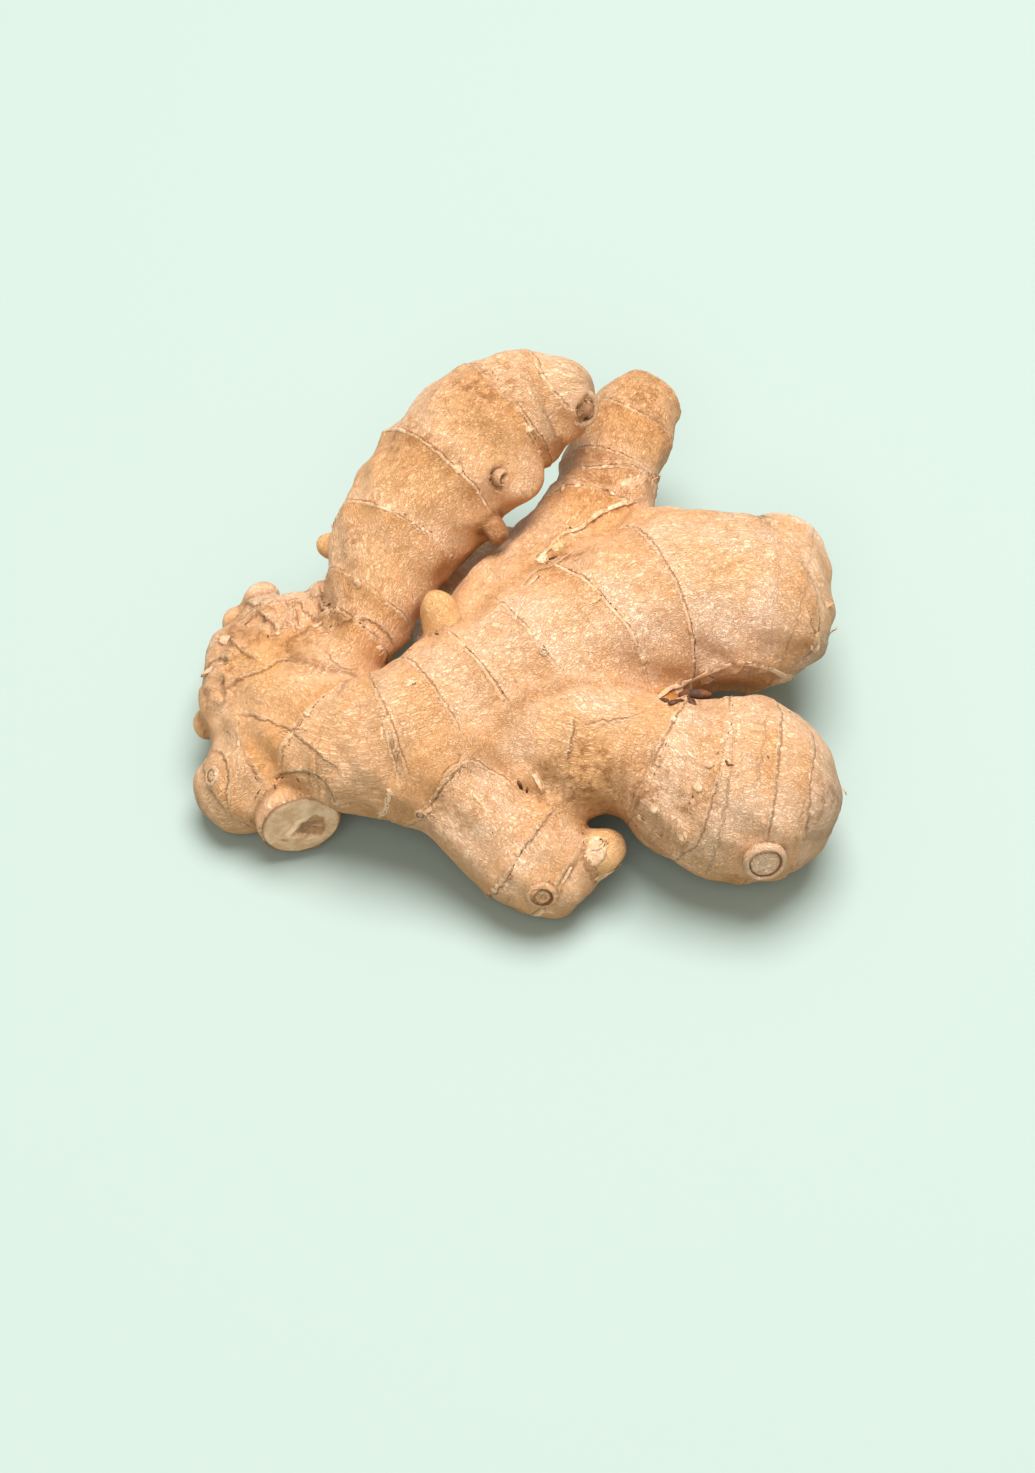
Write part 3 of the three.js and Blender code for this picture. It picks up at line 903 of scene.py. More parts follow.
def noteScars(skin, edges, bands):
    for number, lobe in enumerate(lobes):
        mine = np.nonzero(skin["lobe"] == number)[0]
        clear = np.clip(skin["valley"][mine] / 2.5, 0, 1)
        for k in range(len(lobe["scars"])):
            angle = skin["angle"][mine]
            past = skin["along"][mine] - scarEdge(lobe, k, angle)
            noteEdge(edges, mine, past, np.clip(1.2 + 1.6 * brokenEdge(angle, k, number), 0.15, 1) * clear)
            for name, side in (("darkBand", -1), ("paleBand", 1)):
                away = np.maximum(side * past, 0)
                shade = clear * np.exp(-away / body[name]) * (side * past > 0)
                bands[name][mine] = np.maximum(bands[name][mine], shade)


# The cut end: a flat face with a torn hollow, and a slit beside it

cutEnd = {
    "radius": 8.25,
    "depth": 1.6,
    "rings": 30,
    "segments": 112,
    "above": 0.12,  # over the end of the solid
    "skinBelow": 0.45,  # how far the skin is laid under the face
    "hollowAt": (2.6, -1.2),
    "hollowSize": 2.7,
    "hollowDepth": 1.9,
    "slitAt": (-3.6, -3.9),
    "slitDepth": 0.7,
    "edgeWidth": 0.42,
    "edgeDrop": 0.25,
    "flesh": (0.80, 0.54, 0.35, 1),
    "fleshDark": (0.62, 0.36, 0.18, 1),
    "torn": (0.25, 0.105, 0.035, 1),
    "fibre": (0.90, 0.76, 0.56, 1),
    "edge": (0.20, 0.085, 0.03, 1),
    "layers": (
        ("specks", 0.5, "torn"),
        ("torn", 0.8, "torn"),
        ("fibres", 0.75, "fibre"),
        ("rim", 0.85, "edge"),
    ),
    "mottle": 260.0,
    "fibreScale": 1300.0,
    "fibres": (0.52, 0.62),  # where they set in and are full
    "relief": 0.0002,
    "roughness": 0.62,
}


def cutPlace():
    lobe = lobeNamed["cutStub"]
    way = lobe["tangents"][-1]
    return lobe["centres"][-1] + way * (lobe["flatEnd"][0] + cutEnd["above"]), way


def layUnderCut(points):
    spot, way = cutPlace()
    offset = points - spot
    ahead = offset @ way
    sideways = np.linalg.norm(offset - ahead[:, None] * way, axis=1)
    flat = (np.abs(ahead) < 2.5) & (sideways < cutEnd["radius"] + 0.3)
    points[flat] -= way * (ahead[flat] + cutEnd["skinBelow"])[:, None]
    return points


foldPaths = {}


def makeBody():
    piece = remeshedCopy()
    mesh = piece.data
    points, skin = settleOnSkin(vertexValues(mesh, "co") / mm)
    movePoints(mesh, points * mm)
    tree = surfaceTree(mesh)
    normals = vertexValues(mesh, "normal")
    grain = grainVectors(skin, points)
    calm = np.clip(skin["valley"] / body["calmAt"], 0.35, 1)
    calm *= 1 - 0.6 * (normals[:, 2] < -0.8)
    lift = grainRelief(grain) * calm
    edges = {"gap": np.full(len(points), 9.0), "strength": np.zeros(len(points))}
    bands = {"darkBand": np.zeros(len(points)), "paleBand": np.zeros(len(points))}
    noteScars(skin, edges, bands)
    for name, fold in foldLines.items():
        foldPaths[name] = pixelPath(tree, fold["pixels"])
        close, height, past, fade = foldRelief(points, *foldPaths[name], fold)
        lift[close] += height
        drawn = fade > 0
        noteEdge(edges, close[drawn], past[drawn], fade[drawn])
    for number, lobe in enumerate(lobes):
        if lobe["name"].startswith(("eye", "peg")):
            lift[(skin["lobe"] == number) & (skin["along"] > lobe["length"] - 1)] -= body["eyeSink"]
    smooth = np.clip(placeValues(tree, points, "bare") * 1.6 - 0.3, 0, 1)
    lift *= 1 - 0.7 * smooth
    folds = 0.35 - np.abs(roughField(points * (1, 1, 0.8), 0.3, 2.2)) * 1.6
    foldHeight, gritHeight = body["knobs"]
    knobs = foldHeight * folds + gritHeight * roughField(points, 0.75, 6.6)
    lift += placeValues(tree, points, "knobbly") * knobs
    low, high = np.array(cadLow) / mm, np.array(cadHigh) / mm
    room = np.minimum((points - low)[:, :2].min(axis=1), (high - points).min(axis=1))
    margin, inset = body["margin"]
    atEdge = np.exp(-((room / margin) ** 2))
    lift = lift * (1 - atEdge) - inset * atEdge
    points = np.clip(layUnderCut(points + normals * lift[:, None]), low, high)
    movePoints(mesh, points * mm)
    tight = np.array([lobe["blend"] < 3 for lobe in lobes])[skin["lobe"]]
    isStub = skin["lobe"] == list(lobeRows).index("rootStubUnder")
    isBud = np.isin(skin["lobe"], [n for n, lobe in enumerate(lobes) if lobe["name"] in body["smoothBuds"]])
    stored = {
        "grain": grain,
        "edgeGap": edges["gap"],
        "edgeStrength": edges["strength"],
        # painted shade: brown along the creases where buds, eyes and other tightly blended lobes meet the
        # body
        "valley": np.exp(-((skin["valley"] / 0.9) ** 2)) * tight,
        "seam": np.clip(1.25 - skin["valley"] / 2.4, 0, 1),
        # darker worn skin, and painted shade at a few spots and on the stub called rootStubUnder
        "weatheredAndShaded": np.maximum(placeValues(tree, points, "weatheredAndShaded"), 2.5 * isStub),
        "warm": placeValues(tree, points, "warm"),
        "bare": smooth,
        **bands,
        # painted shade: orange in the hollows where lobes are blended together
        "hollow": np.clip(-skin["fill"] / 2.6, 0, 1),
        # painted shade: orange on the sides that turn away from the top, strongest underneath
        "under": np.clip(0.6 - normals[:, 2], 0, 1) ** 1.3,
        "bud": isBud * np.clip(skin["valley"] / 1.5, 0, 1),
    }
    for name, values in stored.items():
        storeValues(mesh, name, values)
    for polygon in mesh.polygons:
        polygon.use_smooth = True
    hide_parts("ginger_root")
    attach(piece, "root")
    return piece, tree


# Shared effects

# Fine fibres that run along the grain
fibre = {
    "stretch": 0.38,
    "fineness": 2.1,
    "wander": 1.8,
    "swayScale": 0.5,
    "finer": 2.4,  # the second set of fibres against the first
    "fineShare": 0.65,
    "ridgeShare": 0.4,
    "ridgeWidth": 0.1,
}


def makeFibreGroup():
    inputs = [("Grain", "NodeSocketVector", None)]
    inputs += [(name.title(), "NodeSocketFloat", fibre[name]) for name in ("stretch", "fineness", "wander")]
    tree, given, result = newGroup("rootFibre", inputs, ["Height", "Lines"])
    apart = put(tree, "ShaderNodeSeparateXYZ", {0: given["Grain"]}).outputs
    squeezed = calc(tree, "MULTIPLY", apart[0], given["Stretch"])
    joined = put(tree, "ShaderNodeCombineXYZ", {0: squeezed, 1: apart[1], 2: apart[2]}).outputs[0]
    sway = roughTexture(tree, given["Grain"], fibre["swayScale"], 2.0)["Color"]
    centred = vectorCalc(tree, "SUBTRACT", {0: sway, 1: (0.5, 0.5, 0.5)})
    swayed = vectorCalc(tree, "SCALE", {0: centred, "Scale": given["Wander"]})
    where = vectorCalc(tree, "ADD", {0: joined, 1: swayed})
    coarse = roughTexture(tree, where, given["Fineness"], 3.0, 0.6)[0]
    fold = calc(tree, "ABSOLUTE", calc(tree, "SUBTRACT", coarse, 0.5))
    ridge = spread(tree, fold, 0.0, fibre["ridgeWidth"])
    fineScale = calc(tree, "MULTIPLY", given["Fineness"], fibre["finer"])
    fine = roughTexture(tree, where, fineScale, 2.0, 0.55)[0]
    ridges = calc(tree, "MULTIPLY", ridge, fibre["ridgeShare"])
    height = calc(tree, "MULTIPLY_ADD", fine, fibre["fineShare"], ridges)
    feed(tree, result, {"Height": height, "Lines": calc(tree, "SUBTRACT", 1.0, ridge)})
    return tree


# Clouds, blotches and specks: how much finer than the clouds, where each sets in and where it is full
mottling = {
    "size": 60.0,
    "cloud": (0.38, 0.64),
    "blotch": (6.0, 0.44, 0.66),
    "speck": (11.0, 0.08, 0.2),
    "rareSpeck": (0.78, 0.84),
}


def makeMottleGroup():
    inputs = [("Position", "NodeSocketVector", None), ("Size", "NodeSocketFloat", mottling["size"])]
    tree, given, result = newGroup("rootMottle", inputs, ["Blotch", "Cloud", "Specks"])
    place, size = given["Position"], given["Size"]
    cloud = roughTexture(tree, place, size, 4.0, 0.65)[0]
    finer, low, high = mottling["blotch"]
    blotch = roughTexture(tree, place, calc(tree, "MULTIPLY", size, finer), 5.0, 0.75)[0]
    blotch = spread(tree, blotch, low, high)
    finer, low, high = mottling["speck"]
    values = {"Vector": place, "Scale": calc(tree, "MULTIPLY", size, finer)}
    cells = put(tree, "ShaderNodeTexVoronoi", values).outputs
    dot = spread(tree, cells["Distance"], low, high, 1.0, 0.0)
    specks = calc(tree, "MULTIPLY", dot, spread(tree, cells["Color"], *mottling["rareSpeck"]))
    cloud = spread(tree, cloud, *mottling["cloud"])
    feed(tree, result, {"Blotch": blotch, "Cloud": cloud, "Specks": specks})
    return tree


fibreGroup = makeFibreGroup()
mottleGroup = makeMottleGroup()

skinLook = {
    "pale": (0.92, 0.66, 0.48, 1),
    "tan": (0.83, 0.50, 0.28, 1),
    "warm": (0.77, 0.40, 0.155, 1),
    "orange": (0.64, 0.265, 0.07, 1),
    "bare": (0.56, 0.21, 0.04, 1),
    "brown": (0.31, 0.115, 0.03, 1),
    "scarPale": (0.88, 0.66, 0.45, 1),
    "bud": (0.82, 0.44, 0.17, 1),
    "roughness": 0.43,
    "dullFibres": 0.16,
    "specular": 0.42,
    "relief": 0.00034,
    "edgeRelief": 0.0002,
    "fray": (0.9, 1.2),  # scale and reach of the wander of an edge
    "rim": (-0.2, 0.05, 0.5),  # middle of the line past the edge, its half width and where it ends, mm
    "crack": (0.4, 0.06, 0.32),
    # Laid over one another: mask or attribute, share, colour
    "layers": (
        ("warm", 1, "warm"),
        # painted shade: orange on the sides that turn away from the top
        ("under", 0.85, "orange"),
        ("darkBand", 0.5, "orange"),
        ("paleBand", 0.4, "pale"),
        # painted shade: orange in the hollows between blended lobes
        ("hollow", 0.65, "orange"),
        ("blotch", 0.36, "orange"),
        ("fibres", 0.55, "orange"),
        ("bare", 1, "bare"),
        # darker worn skin, with painted shade in a few spots and on the stub called rootStubUnder
        ("worn", 0.85, "brown"),
        ("specks", 0.45, "brown"),
        ("bud", 0.75, "bud"),
        ("rim", 0.3, "scarPale"),
        ("crack", 0.75, "brown"),
        ("scarFoot", 0.75, "brown"),
        # painted shade: brown along the creases round buds and tightly blended lobes
        ("valley", 0.6, "brown"),
    ),
}


def edgeLines(tree, inMillimetres):  # the pale rim and the dark crack at the edge of a scar or fold
    scale, reach = skinLook["fray"]
    frayed = roughTexture(tree, inMillimetres, scale, 3.0)[0]
    stray = calc(tree, "MULTIPLY", calc(tree, "SUBTRACT", frayed, 0.5), reach)
    gap = calc(tree, "ADD", attribute(tree, "edgeGap"), stray)
    strength = attribute(tree, "edgeStrength")
    for name in ("rim", "crack"):
        middle, full, faint = skinLook[name]
        off = calc(tree, "ABSOLUTE", calc(tree, "SUBTRACT", gap, middle))
        yield name, calc(tree, "MULTIPLY", spread(tree, off, full, faint, 1.0, 0.0), strength)


def makeSkinMaterial():
    material, tree, surface = newMaterial("gingerSkin")
    look = skinLook
    place = put(tree, "ShaderNodeTexCoord").outputs["Object"]
    inMillimetres = vectorCalc(tree, "SCALE", {0: place, "Scale": 1000.0})
    alongLobe = placeGroup(tree, fibreGroup, {"Grain": attribute(tree, "grain", "Vector")})
    allRound = placeGroup(tree, fibreGroup, {"Grain": inMillimetres, "Stretch": 0.8})
    seam = attribute(tree, "seam")
    height, fibres = (mingle(tree, seam, alongLobe[name], allRound[name]) for name in ("Height", "Lines"))
    mottle = placeGroup(tree, mottleGroup, {"Position": place})
    patchy = calc(tree, "ADD", mottle["Blotch"], 0.25)
    masks = {
        "blotch": mottle["Blotch"],
        "fibres": fibres,
        # worn skin and, in a few places, painted shade
        "worn": calc(tree, "MULTIPLY", attribute(tree, "weatheredAndShaded"), patchy, clamp=True),
        "specks": mottle["Specks"],
        **dict(edgeLines(tree, inMillimetres)),
    }
    base = tint(tree, mottle["Cloud"], look["pale"], look["tan"])
    edge = bump(tree, masks["rim"], look["edgeRelief"])
    values = {
        "Base Color": layColours(tree, base, look["layers"], look, masks),
        "Roughness": calc(tree, "MULTIPLY_ADD", fibres, look["dullFibres"], look["roughness"]),
        "Specular IOR Level": look["specular"],
        "Normal": bump(tree, height, look["relief"], Normal=edge),
    }
    feed(tree, surface, values)
    return material


gingerSkin, skinTree = makeBody()
gingerSkin.data.materials.append(makeSkinMaterial())
print("the body has", len(gingerSkin.data.polygons), "faces")


# Papery skin: the torn edges of the sheaths

paper = {
    "pale": (0.86, 0.58, 0.38, 1),
    "tan": (0.74, 0.43, 0.22, 1),
    "orange": skinLook["orange"],
    "layers": (("blotch", 0.35, "orange"),),
    "mottle": 170.0,
    "relief": 0.00015,
    "reliefStrength": 0.8,
    "roughness": 0.5,
    "thickness": 0.08,
}


def makePaperMaterial():
    material, tree, surface = newMaterial("paperySkin")
    place = put(tree, "ShaderNodeTexCoord").outputs["Object"]
    mottle = placeGroup(tree, mottleGroup, {"Position": place, "Size": paper["mottle"]})
    base = tint(tree, mottle["Cloud"], paper["pale"], paper["tan"])
    values = {
        "Base Color": layColours(tree, base, paper["layers"], paper, {"blotch": mottle["Blotch"]}),
        "Normal": bump(tree, mottle["Blotch"], paper["relief"], Strength=paper["reliefStrength"]),
        "Roughness": paper["roughness"],
    }
    feed(tree, surface, values)
    return material


paperMaterial = makePaperMaterial()
boxClearance = 0.00002


def finishPiece(shape, name, material, turnOut=True):
    if turnOut:
        bmesh.ops.recalc_face_normals(shape, faces=shape.faces)
    low, high = np.array(cadLow) + boxClearance, np.array(cadHigh) - boxClearance
    for vertex in shape.verts:
        vertex.co = np.clip(np.array(vertex.co) * mm, low, high)
    mesh = bpy.data.meshes.new(name)
    shape.to_mesh(mesh)
    shape.free()
    for polygon in mesh.polygons:
        polygon.use_smooth = True
    mesh.materials.append(material)
    piece = addObject(name, mesh)
    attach(piece, "root")
    return piece


def finishSheets(shape, name):
    piece = finishPiece(shape, name, paperMaterial)
    shell = piece.modifiers.new("thickness", "SOLIDIFY")
    shell.thickness = paper["thickness"] * mm
    shell.offset = -1
    return piece


# A sheet of so many columns and rows, its vertices moved to the given places; some are left out
def bentSheet(shape, places, kept=None):
    rows, columns = places.shape[:2]
    made = bmesh.ops.create_grid(shape, x_segments=columns - 1, y_segments=rows - 1, size=1)["verts"]
    dropped = []
    for vertex in made:
        column = round((vertex.co.x + 1) / 2 * (columns - 1))
        row = round((vertex.co.y + 1) / 2 * (rows - 1))
        vertex.co = places[row, column]
        if kept is not None and not kept[column]:
            dropped.append(vertex)
    bmesh.ops.delete(shape, geom=dropped, context="VERTS")


def dropOnSkin(points, outward, lift):
    for _ in range(4):
        skin = skinAt(points)
        points = points - outward * np.clip(skin["distance"] - lift, -1.5, 1.5)[:, None]
    return points, skin


# Rows of the rim of a scar: distance past its edge and lift over the skin, mm
rims = {
    "rows": ((-0.7, -0.14), (-0.35, -0.07), (-0.05, 0.0), (0.22, 0.05)),
    "step": 0.5,
    "fray": 0.3,  # of the last row
    "wave": 0.12,  # of the last two
    "clear": 1.6,  # mm from a valley
    "reach": 2.2,  # the skin is at most this far from the smooth lobe
    "aboveTable": 0.6,
}


def makeScarRims():
    shape = bmesh.new()
    for number, lobe in enumerate(lobes):
        count = max(24, int(2 * math.pi * np.mean(lobe["radii"]) / rims["step"]))
        angles = np.linspace(-math.pi, math.pi, count + 1)[:-1]
        for k in range(len(lobe["scars"])):
            edge = scarEdge(lobe, k, angles)
            fray = rims["fray"] * jag(angles, 7 * k + number, 150)
            wave = rims["wave"] * np.maximum(0, jag(angles, 5 * k + number, 60))
            kept = brokenEdge(angles, k, number) > 0.02
            places = []
            for row, (past, lift) in enumerate(rims["rows"]):
                along = edge + past + fray * (row == 3)
                inside = np.clip(along, 0, lobe["length"])
                centre, outward, _, size = onLobe(lobe, inside, angles)
                over = along - inside
                size = np.sqrt(np.maximum(size**2 - over**2, 0.5))
                start = centre + over[:, None] * lobe["tangents"][-1] + outward * (size + 0.6)[:, None]
                points, skin = dropOnSkin(start, outward, lift + wave * (row >= 2))
                places.append(points)
                kept &= (skin["lobe"] == number) & (skin["valley"] > rims["clear"])
                kept &= np.linalg.norm(points - start, axis=1) < rims["reach"]
                kept &= points[:, 2] > rims["aboveTable"]
            bentSheet(shape, np.array(places), kept)
    loose = [vertex for vertex in shape.verts if not vertex.link_faces]
    bmesh.ops.delete(shape, geom=loose, context="VERTS")
    return finishSheets(shape, "scarRims")


# Papery edges of the folds: distance towards the high side and lift over the skin, mm
foldEdge = {
    "rows": ((0.7, -0.16), (0.3, -0.02), (-0.05, 0.04), (-0.32, 0.02), (-0.5, -0.16)),
    "folds": ("peeledEdge", "sheathFold"),
    "fray": 0.4,
    "tuckedIn": 0.1,
}


def makeFoldEdges():
    shape = bmesh.new()
    for n, name in enumerate(foldEdge["folds"]):
        path, normals = foldPaths[name]
        sides = sideWays(path, normals) * foldLines[name]["high"]
        ticks = np.linspace(0, 1, len(path))
        fade = np.sqrt(np.clip(np.minimum(ticks, 1 - ticks) / foldLook["ends"], 0, 1))[:, None]
        ragged = foldEdge["fray"] * jag(ticks * 6, n + 40, 60)[:, None]
        places = []
        for away, lift in foldEdge["rows"]:
            over = (foldLines[name]["height"] + lift + 0.1 * ragged) * fade
            over = over - foldEdge["tuckedIn"] * (1 - fade)
            places.append(path + sides * (away + ragged * (away < 0.4)) + normals * over)
        bentSheet(shape, np.array(places))
    return finishSheets(shape, "foldEdges")


# Sheets of papery skin laid on the hand, each a leaf shape with a loose tip

leafShape = {
    "rootWidth": 0.75,  # share of the full width
    "tipBend": 2.4,
    "tipWidth": 0.03,
    "raggedSides": 0.12,
    "raggedTip": 0.16,
    "back": 0.3,  # mm behind its root
    "rise": 0.7,
    "riseBend": 1.6,
    "cupped": 0.35,
    "crumple": 0.05,
    "tuckedIn": 0.14,
}


def layLeaves(shape, leaves, columns, rows):
    look = leafShape
    down = np.linspace(0, 1, rows)[:, None, None]
    across = np.linspace(-1, 1, columns)[None, :, None]
    outline = np.sqrt(np.clip(1.02 - down ** look["tipBend"], look["tipWidth"], 1))
    outline = outline * (look["rootWidth"] + (1 - look["rootWidth"]) * np.sqrt(down))
    starts, outs, lifts = [], [], []
    for seed, spot, normal, way, length, width, lift in leaves:
        random = np.random.default_rng(seed)
        side = np.cross(normal, way)
        ragged = look["raggedSides"] * random.uniform(-1, 1, (rows, columns, 1)) * width
        reach = down * length * (1 + look["raggedTip"] * random.uniform(-1, 1, (1, columns, 1)))
        sideways = across * width / 2 * outline + ragged * down
        start = spot + way * (reach - look["back"]) + side * sideways
        curl = look["rise"] * lift * down ** look["riseBend"] * (1 + look["cupped"] * across**2)
        curl = curl + look["crumple"] * random.uniform(-1, 1, (rows, columns, 1))
        starts.append(start + normal * 0.5)
        outs.append(np.broadcast_to(normal, start.shape))
        lifts.append(curl - look["tuckedIn"] * (down == 0))
    starts, outs, lifts = np.array(starts), np.array(outs), np.array(lifts)
    points, _ = dropOnSkin(starts.reshape(-1, 3), outs.reshape(-1, 3), lifts.reshape(-1))
    points[:, 2] = np.maximum(points[:, 2], 0.3)
    for places in points.reshape(len(leaves), rows, columns, 3):
        bentSheet(shape, places)


# Random spots round every scar, some way past its edge: lobe, spot on its smooth skin, way out, way on
def spotsAtScars(random, perScar, past):
    for number, lobe in enumerate(lobes):
        for k in range(len(lobe["scars"])):
            for angle in random.uniform(-math.pi, math.pi, perScar):
                along = float(scarEdge(lobe, k, angle)) + past
                if 0 < along < lobe["length"]:
                    centre, outward, way, size = onLobe(lobe, along, angle)
                    yield number, centre + unit(outward) * size, unit(outward), way


# Loose skin seen in the photo: pixel of its root, its way across the picture in degrees, length,
# width and lift in mm
looseSkin = [
    ((652, 492), 35, 4.6, 4.6, 0.9), ((664, 496), 15, 4.6, 4.0, 1.1), ((676, 503), -15, 4.0, 3.4, 0.9),
    ((640, 486), 60, 3.8, 4.0, 0.6), ((628, 490), 70, 3.4, 4.2, 0.5), ((562, 547), 130, 2.6, 4.2, 0.45),
    ((578, 534), 125, 3.0, 4.0, 0.45), ((546, 560), 140, 2.4, 3.4, 0.4), ((516, 594), 68, 7.2, 1.3, 0.5),
    ((531, 768), -60, 5.6, 1.7, 1.2), ((815, 636), -65, 4.6, 3.6, 0.9), ((824, 660), -75, 4.6, 3.2, 1.0),
    ((806, 690), -105, 3.8, 3.0, 0.9), ((798, 676), -85, 3.4, 3.0, 0.6), ((316, 624), -60, 2.8, 2.6, 0.6),
    ((228, 640), 170, 2.6, 2.4, 0.7), ((212, 668), 200, 3.0, 2.4, 1.0), ((588, 864), 55, 5.6, 4.6, 0.3),
    ((596, 884), 48, 6.4, 4.4, 0.35), ((584, 846), 15, 5.0, 3.6, 0.3), ((520, 512), 38, 6.6, 3.6, 0.45),
    ((700, 680), 20, 3.0, 5.0, 0.4), ((728, 668), 10, 3.2, 5.0, 0.45), ((756, 668), -15, 3.4, 5.0, 0.45),
    ((782, 678), -40, 3.2, 4.6, 0.5), ((674, 690), 40, 2.6, 4.0, 0.35), ((655, 800), -100, 3.0, 2.2, 0.5),
    ((680, 830), -80, 3.2, 2.6, 0.5), ((592, 600), 20, 2.2, 1.8, 0.3), ((405, 682), -30, 2.4, 2.0, 0.4),
    ((816, 692), -20, 2.2, 1.2, 1.0), ((828, 704), 0, 2.0, 1.1, 1.2), ((836, 722), 10, 1.8, 1.2, 1.2),
    ((841, 742), 0, 2.2, 1.0, 1.3), ((843, 764), -5, 1.8, 1.1, 1.2), ((842, 788), -15, 2.0, 1.2, 1.0),
    ((826, 606), 20, 2.2, 1.4, 1.2), ((829, 634), 0, 2.4, 1.6, 1.4),
]

flakes = {
    "perScar": 9,
    "length": 1.3,
    "width": 0.9,
    "lift": 0.17,
    "back": 0.4,
    "clear": 1.6,
    "aboveTable": 1,
    "seed": 5,
}


def makeLooseSkin():
    shape = bmesh.new()
    leaves = []
    for n, (pixel, turn, *sizes) in enumerate(looseSkin):
        found = pixelSpot(skinTree, pixel)
        if found is not None:
            leaves.append((n, *found, pictureWay(turn, found[1]), *sizes))
    layLeaves(shape, leaves, columns=7, rows=7)
    small = []
    random = np.random.default_rng(flakes["seed"])
    for number, spot, outward, way in spotsAtScars(random, flakes["perScar"], 0):
        skin = skinAt(spot[None])
        clear = skin["valley"][0] >= flakes["clear"] and spot[2] >= flakes["aboveTable"]
        if skin["lobe"][0] != number or not clear:
            continue
        grow = random.uniform(0.55, 1.5)
        way = unit(way + 0.5 * random.uniform(-1, 1) * np.cross(outward, way))
        width = flakes["width"] * grow * random.uniform(0.8, 2.2)
        flatWay = unit(way - outward * (way @ outward))
        sizes = flakes["length"] * grow, width, flakes["lift"] * grow
        small.append((len(small), spot - way * flakes["back"], outward, flatWay, *sizes))
    layLeaves(shape, small, columns=4, rows=4)
    print("there are", len(leaves) + len(small), "loose pieces of skin")
    return finishSheets(shape, "looseSkin")


# Small dark pits and dashes, mostly at the feet of the scars, and dark pieces in the crevice under the
# upper right lobe that are painted shade

pits = {
    "colour": (0.05, 0.018, 0.007, 1),
    "brown": (0.2, 0.075, 0.024, 1),
    "mottle": 300.0,
    "roughness": 0.7,
    "shape": (0.55, 1.5, 0.22),
    "perScar": 46,
    "pastEdge": 0.5,
    "scattered": 260,
    "size": 0.19,
    "seenSize": 0.6,
    "reach": 2.5,
    "aboveTable": 0.8,
    "seed": 11,
    # painted shade: a dark piece set in the slit between the upper and lower right lobes, facing the camera
    "slit": ((696, 686), (694, 704)),
    "slitSize": 2.7,
    "seen": [
        ((727, 763), 1.0), ((731, 765), 0.7), ((553, 558), 1.3), ((547, 563), 0.8), ((298, 780), 0.8),
        ((309, 774), 0.5), ((275, 787), 0.7), ((520, 785), 1.5), ((527, 790), 1.0), ((249, 623), 1.3),
        ((316, 590), 0.7), ((329, 604), 1.1), ((331, 612), 0.9), ((295, 632), 0.8), ((268, 636), 0.6),
        ((331, 626), 0.6), ((640, 500), 0.9), ((665, 502), 1.0), ((652, 510), 0.7), ((258, 600), 0.7),
        ((410, 650), 0.8), ((790, 712), 0.5), ((768, 757), 0.6), ((795, 756), 0.4), ((568, 895), 0.6),
        # the three largest here, at (664, 700), (676, 702) and (690, 701), line the crevice under the upper
        # right lobe as painted shade
        ((664, 700), 3.4), ((676, 702), 4.0), ((690, 701), 3.6), ((660, 694), 1.4), ((447, 611), 0.6),
        ((441, 620), 0.5), ((437, 634), 0.8),
    ],
}


def makePitMaterial():
    material, tree, surface = newMaterial("darkPitsAndShade")
    place = put(tree, "ShaderNodeTexCoord").outputs["Object"]
    mottle = placeGroup(tree, mottleGroup, {"Position": place, "Size": pits["mottle"]})
    base = tint(tree, mottle["Cloud"], pits["colour"], pits["brown"])
    feed(tree, surface, {"Base Color": base, "Roughness": pits["roughness"]})
    return material


def addPit(shape, spot, normal, way, size):
    ball = bmesh.ops.create_icosphere(shape, subdivisions=1, radius=1)["verts"]
    side = np.cross(normal, way)
    wide, long, deep = (share * size for share in pits["shape"])
    for vertex in ball:
        x, y, z = vertex.co
        vertex.co = spot + way * (x * wide) + side * (y * long) + normal * (z * deep + 0.02)


def makePits():
    shape = bmesh.new()
    random = np.random.default_rng(pits["seed"])
    for pixel, size in pits["seen"]:
        found = pixelSpot(skinTree, pixel)
        if found is not None:
            way = pictureWay(random.uniform(0, 180), found[1])
            addPit(shape, *found, way, size * pits["seenSize"])
    # painted shade: a dark pit set in the slit and turned to face the camera
    above, below = (pixelSpot(skinTree, pixel)[0] for pixel in pits["slit"])
    middle = (above + below) / 2
    toEye = unit(np.array(shotAxes()[0]) - middle)
    addPit(shape, middle - toEye * 1.5, toEye, pictureWay(90, toEye), pits["slitSize"])
    drawn = []
    for _, spot, _, way in spotsAtScars(random, pits["perScar"], pits["pastEdge"]):
        drawn.append((spot, unit(way), pits["size"] * random.uniform(0.5, 1.5)))
    corners = vertexValues(gingerSkin.data, "co") / mm
    for index in random.integers(0, len(corners), pits["scattered"]):
        way = unit(random.uniform(-1, 1, 3))
        drawn.append((corners[index], way, pits["size"] * random.uniform(0.3, 0.9)))
    for spot, way, size in drawn:
        place, normal, _, gap = skinTree.find_nearest(spot)
        if gap <= pits["reach"] and place.z >= pits["aboveTable"]:
            place, normal = np.array(place), np.array(normal)
            addPit(shape, place, normal, unit(way - normal * (way @ normal)), size)
    return finishPiece(shape, "darkPitsAndShade", makePitMaterial(), turnOut=False)


# Turned pieces: the round scars of old buds, each a profile spun about the way out of the skin

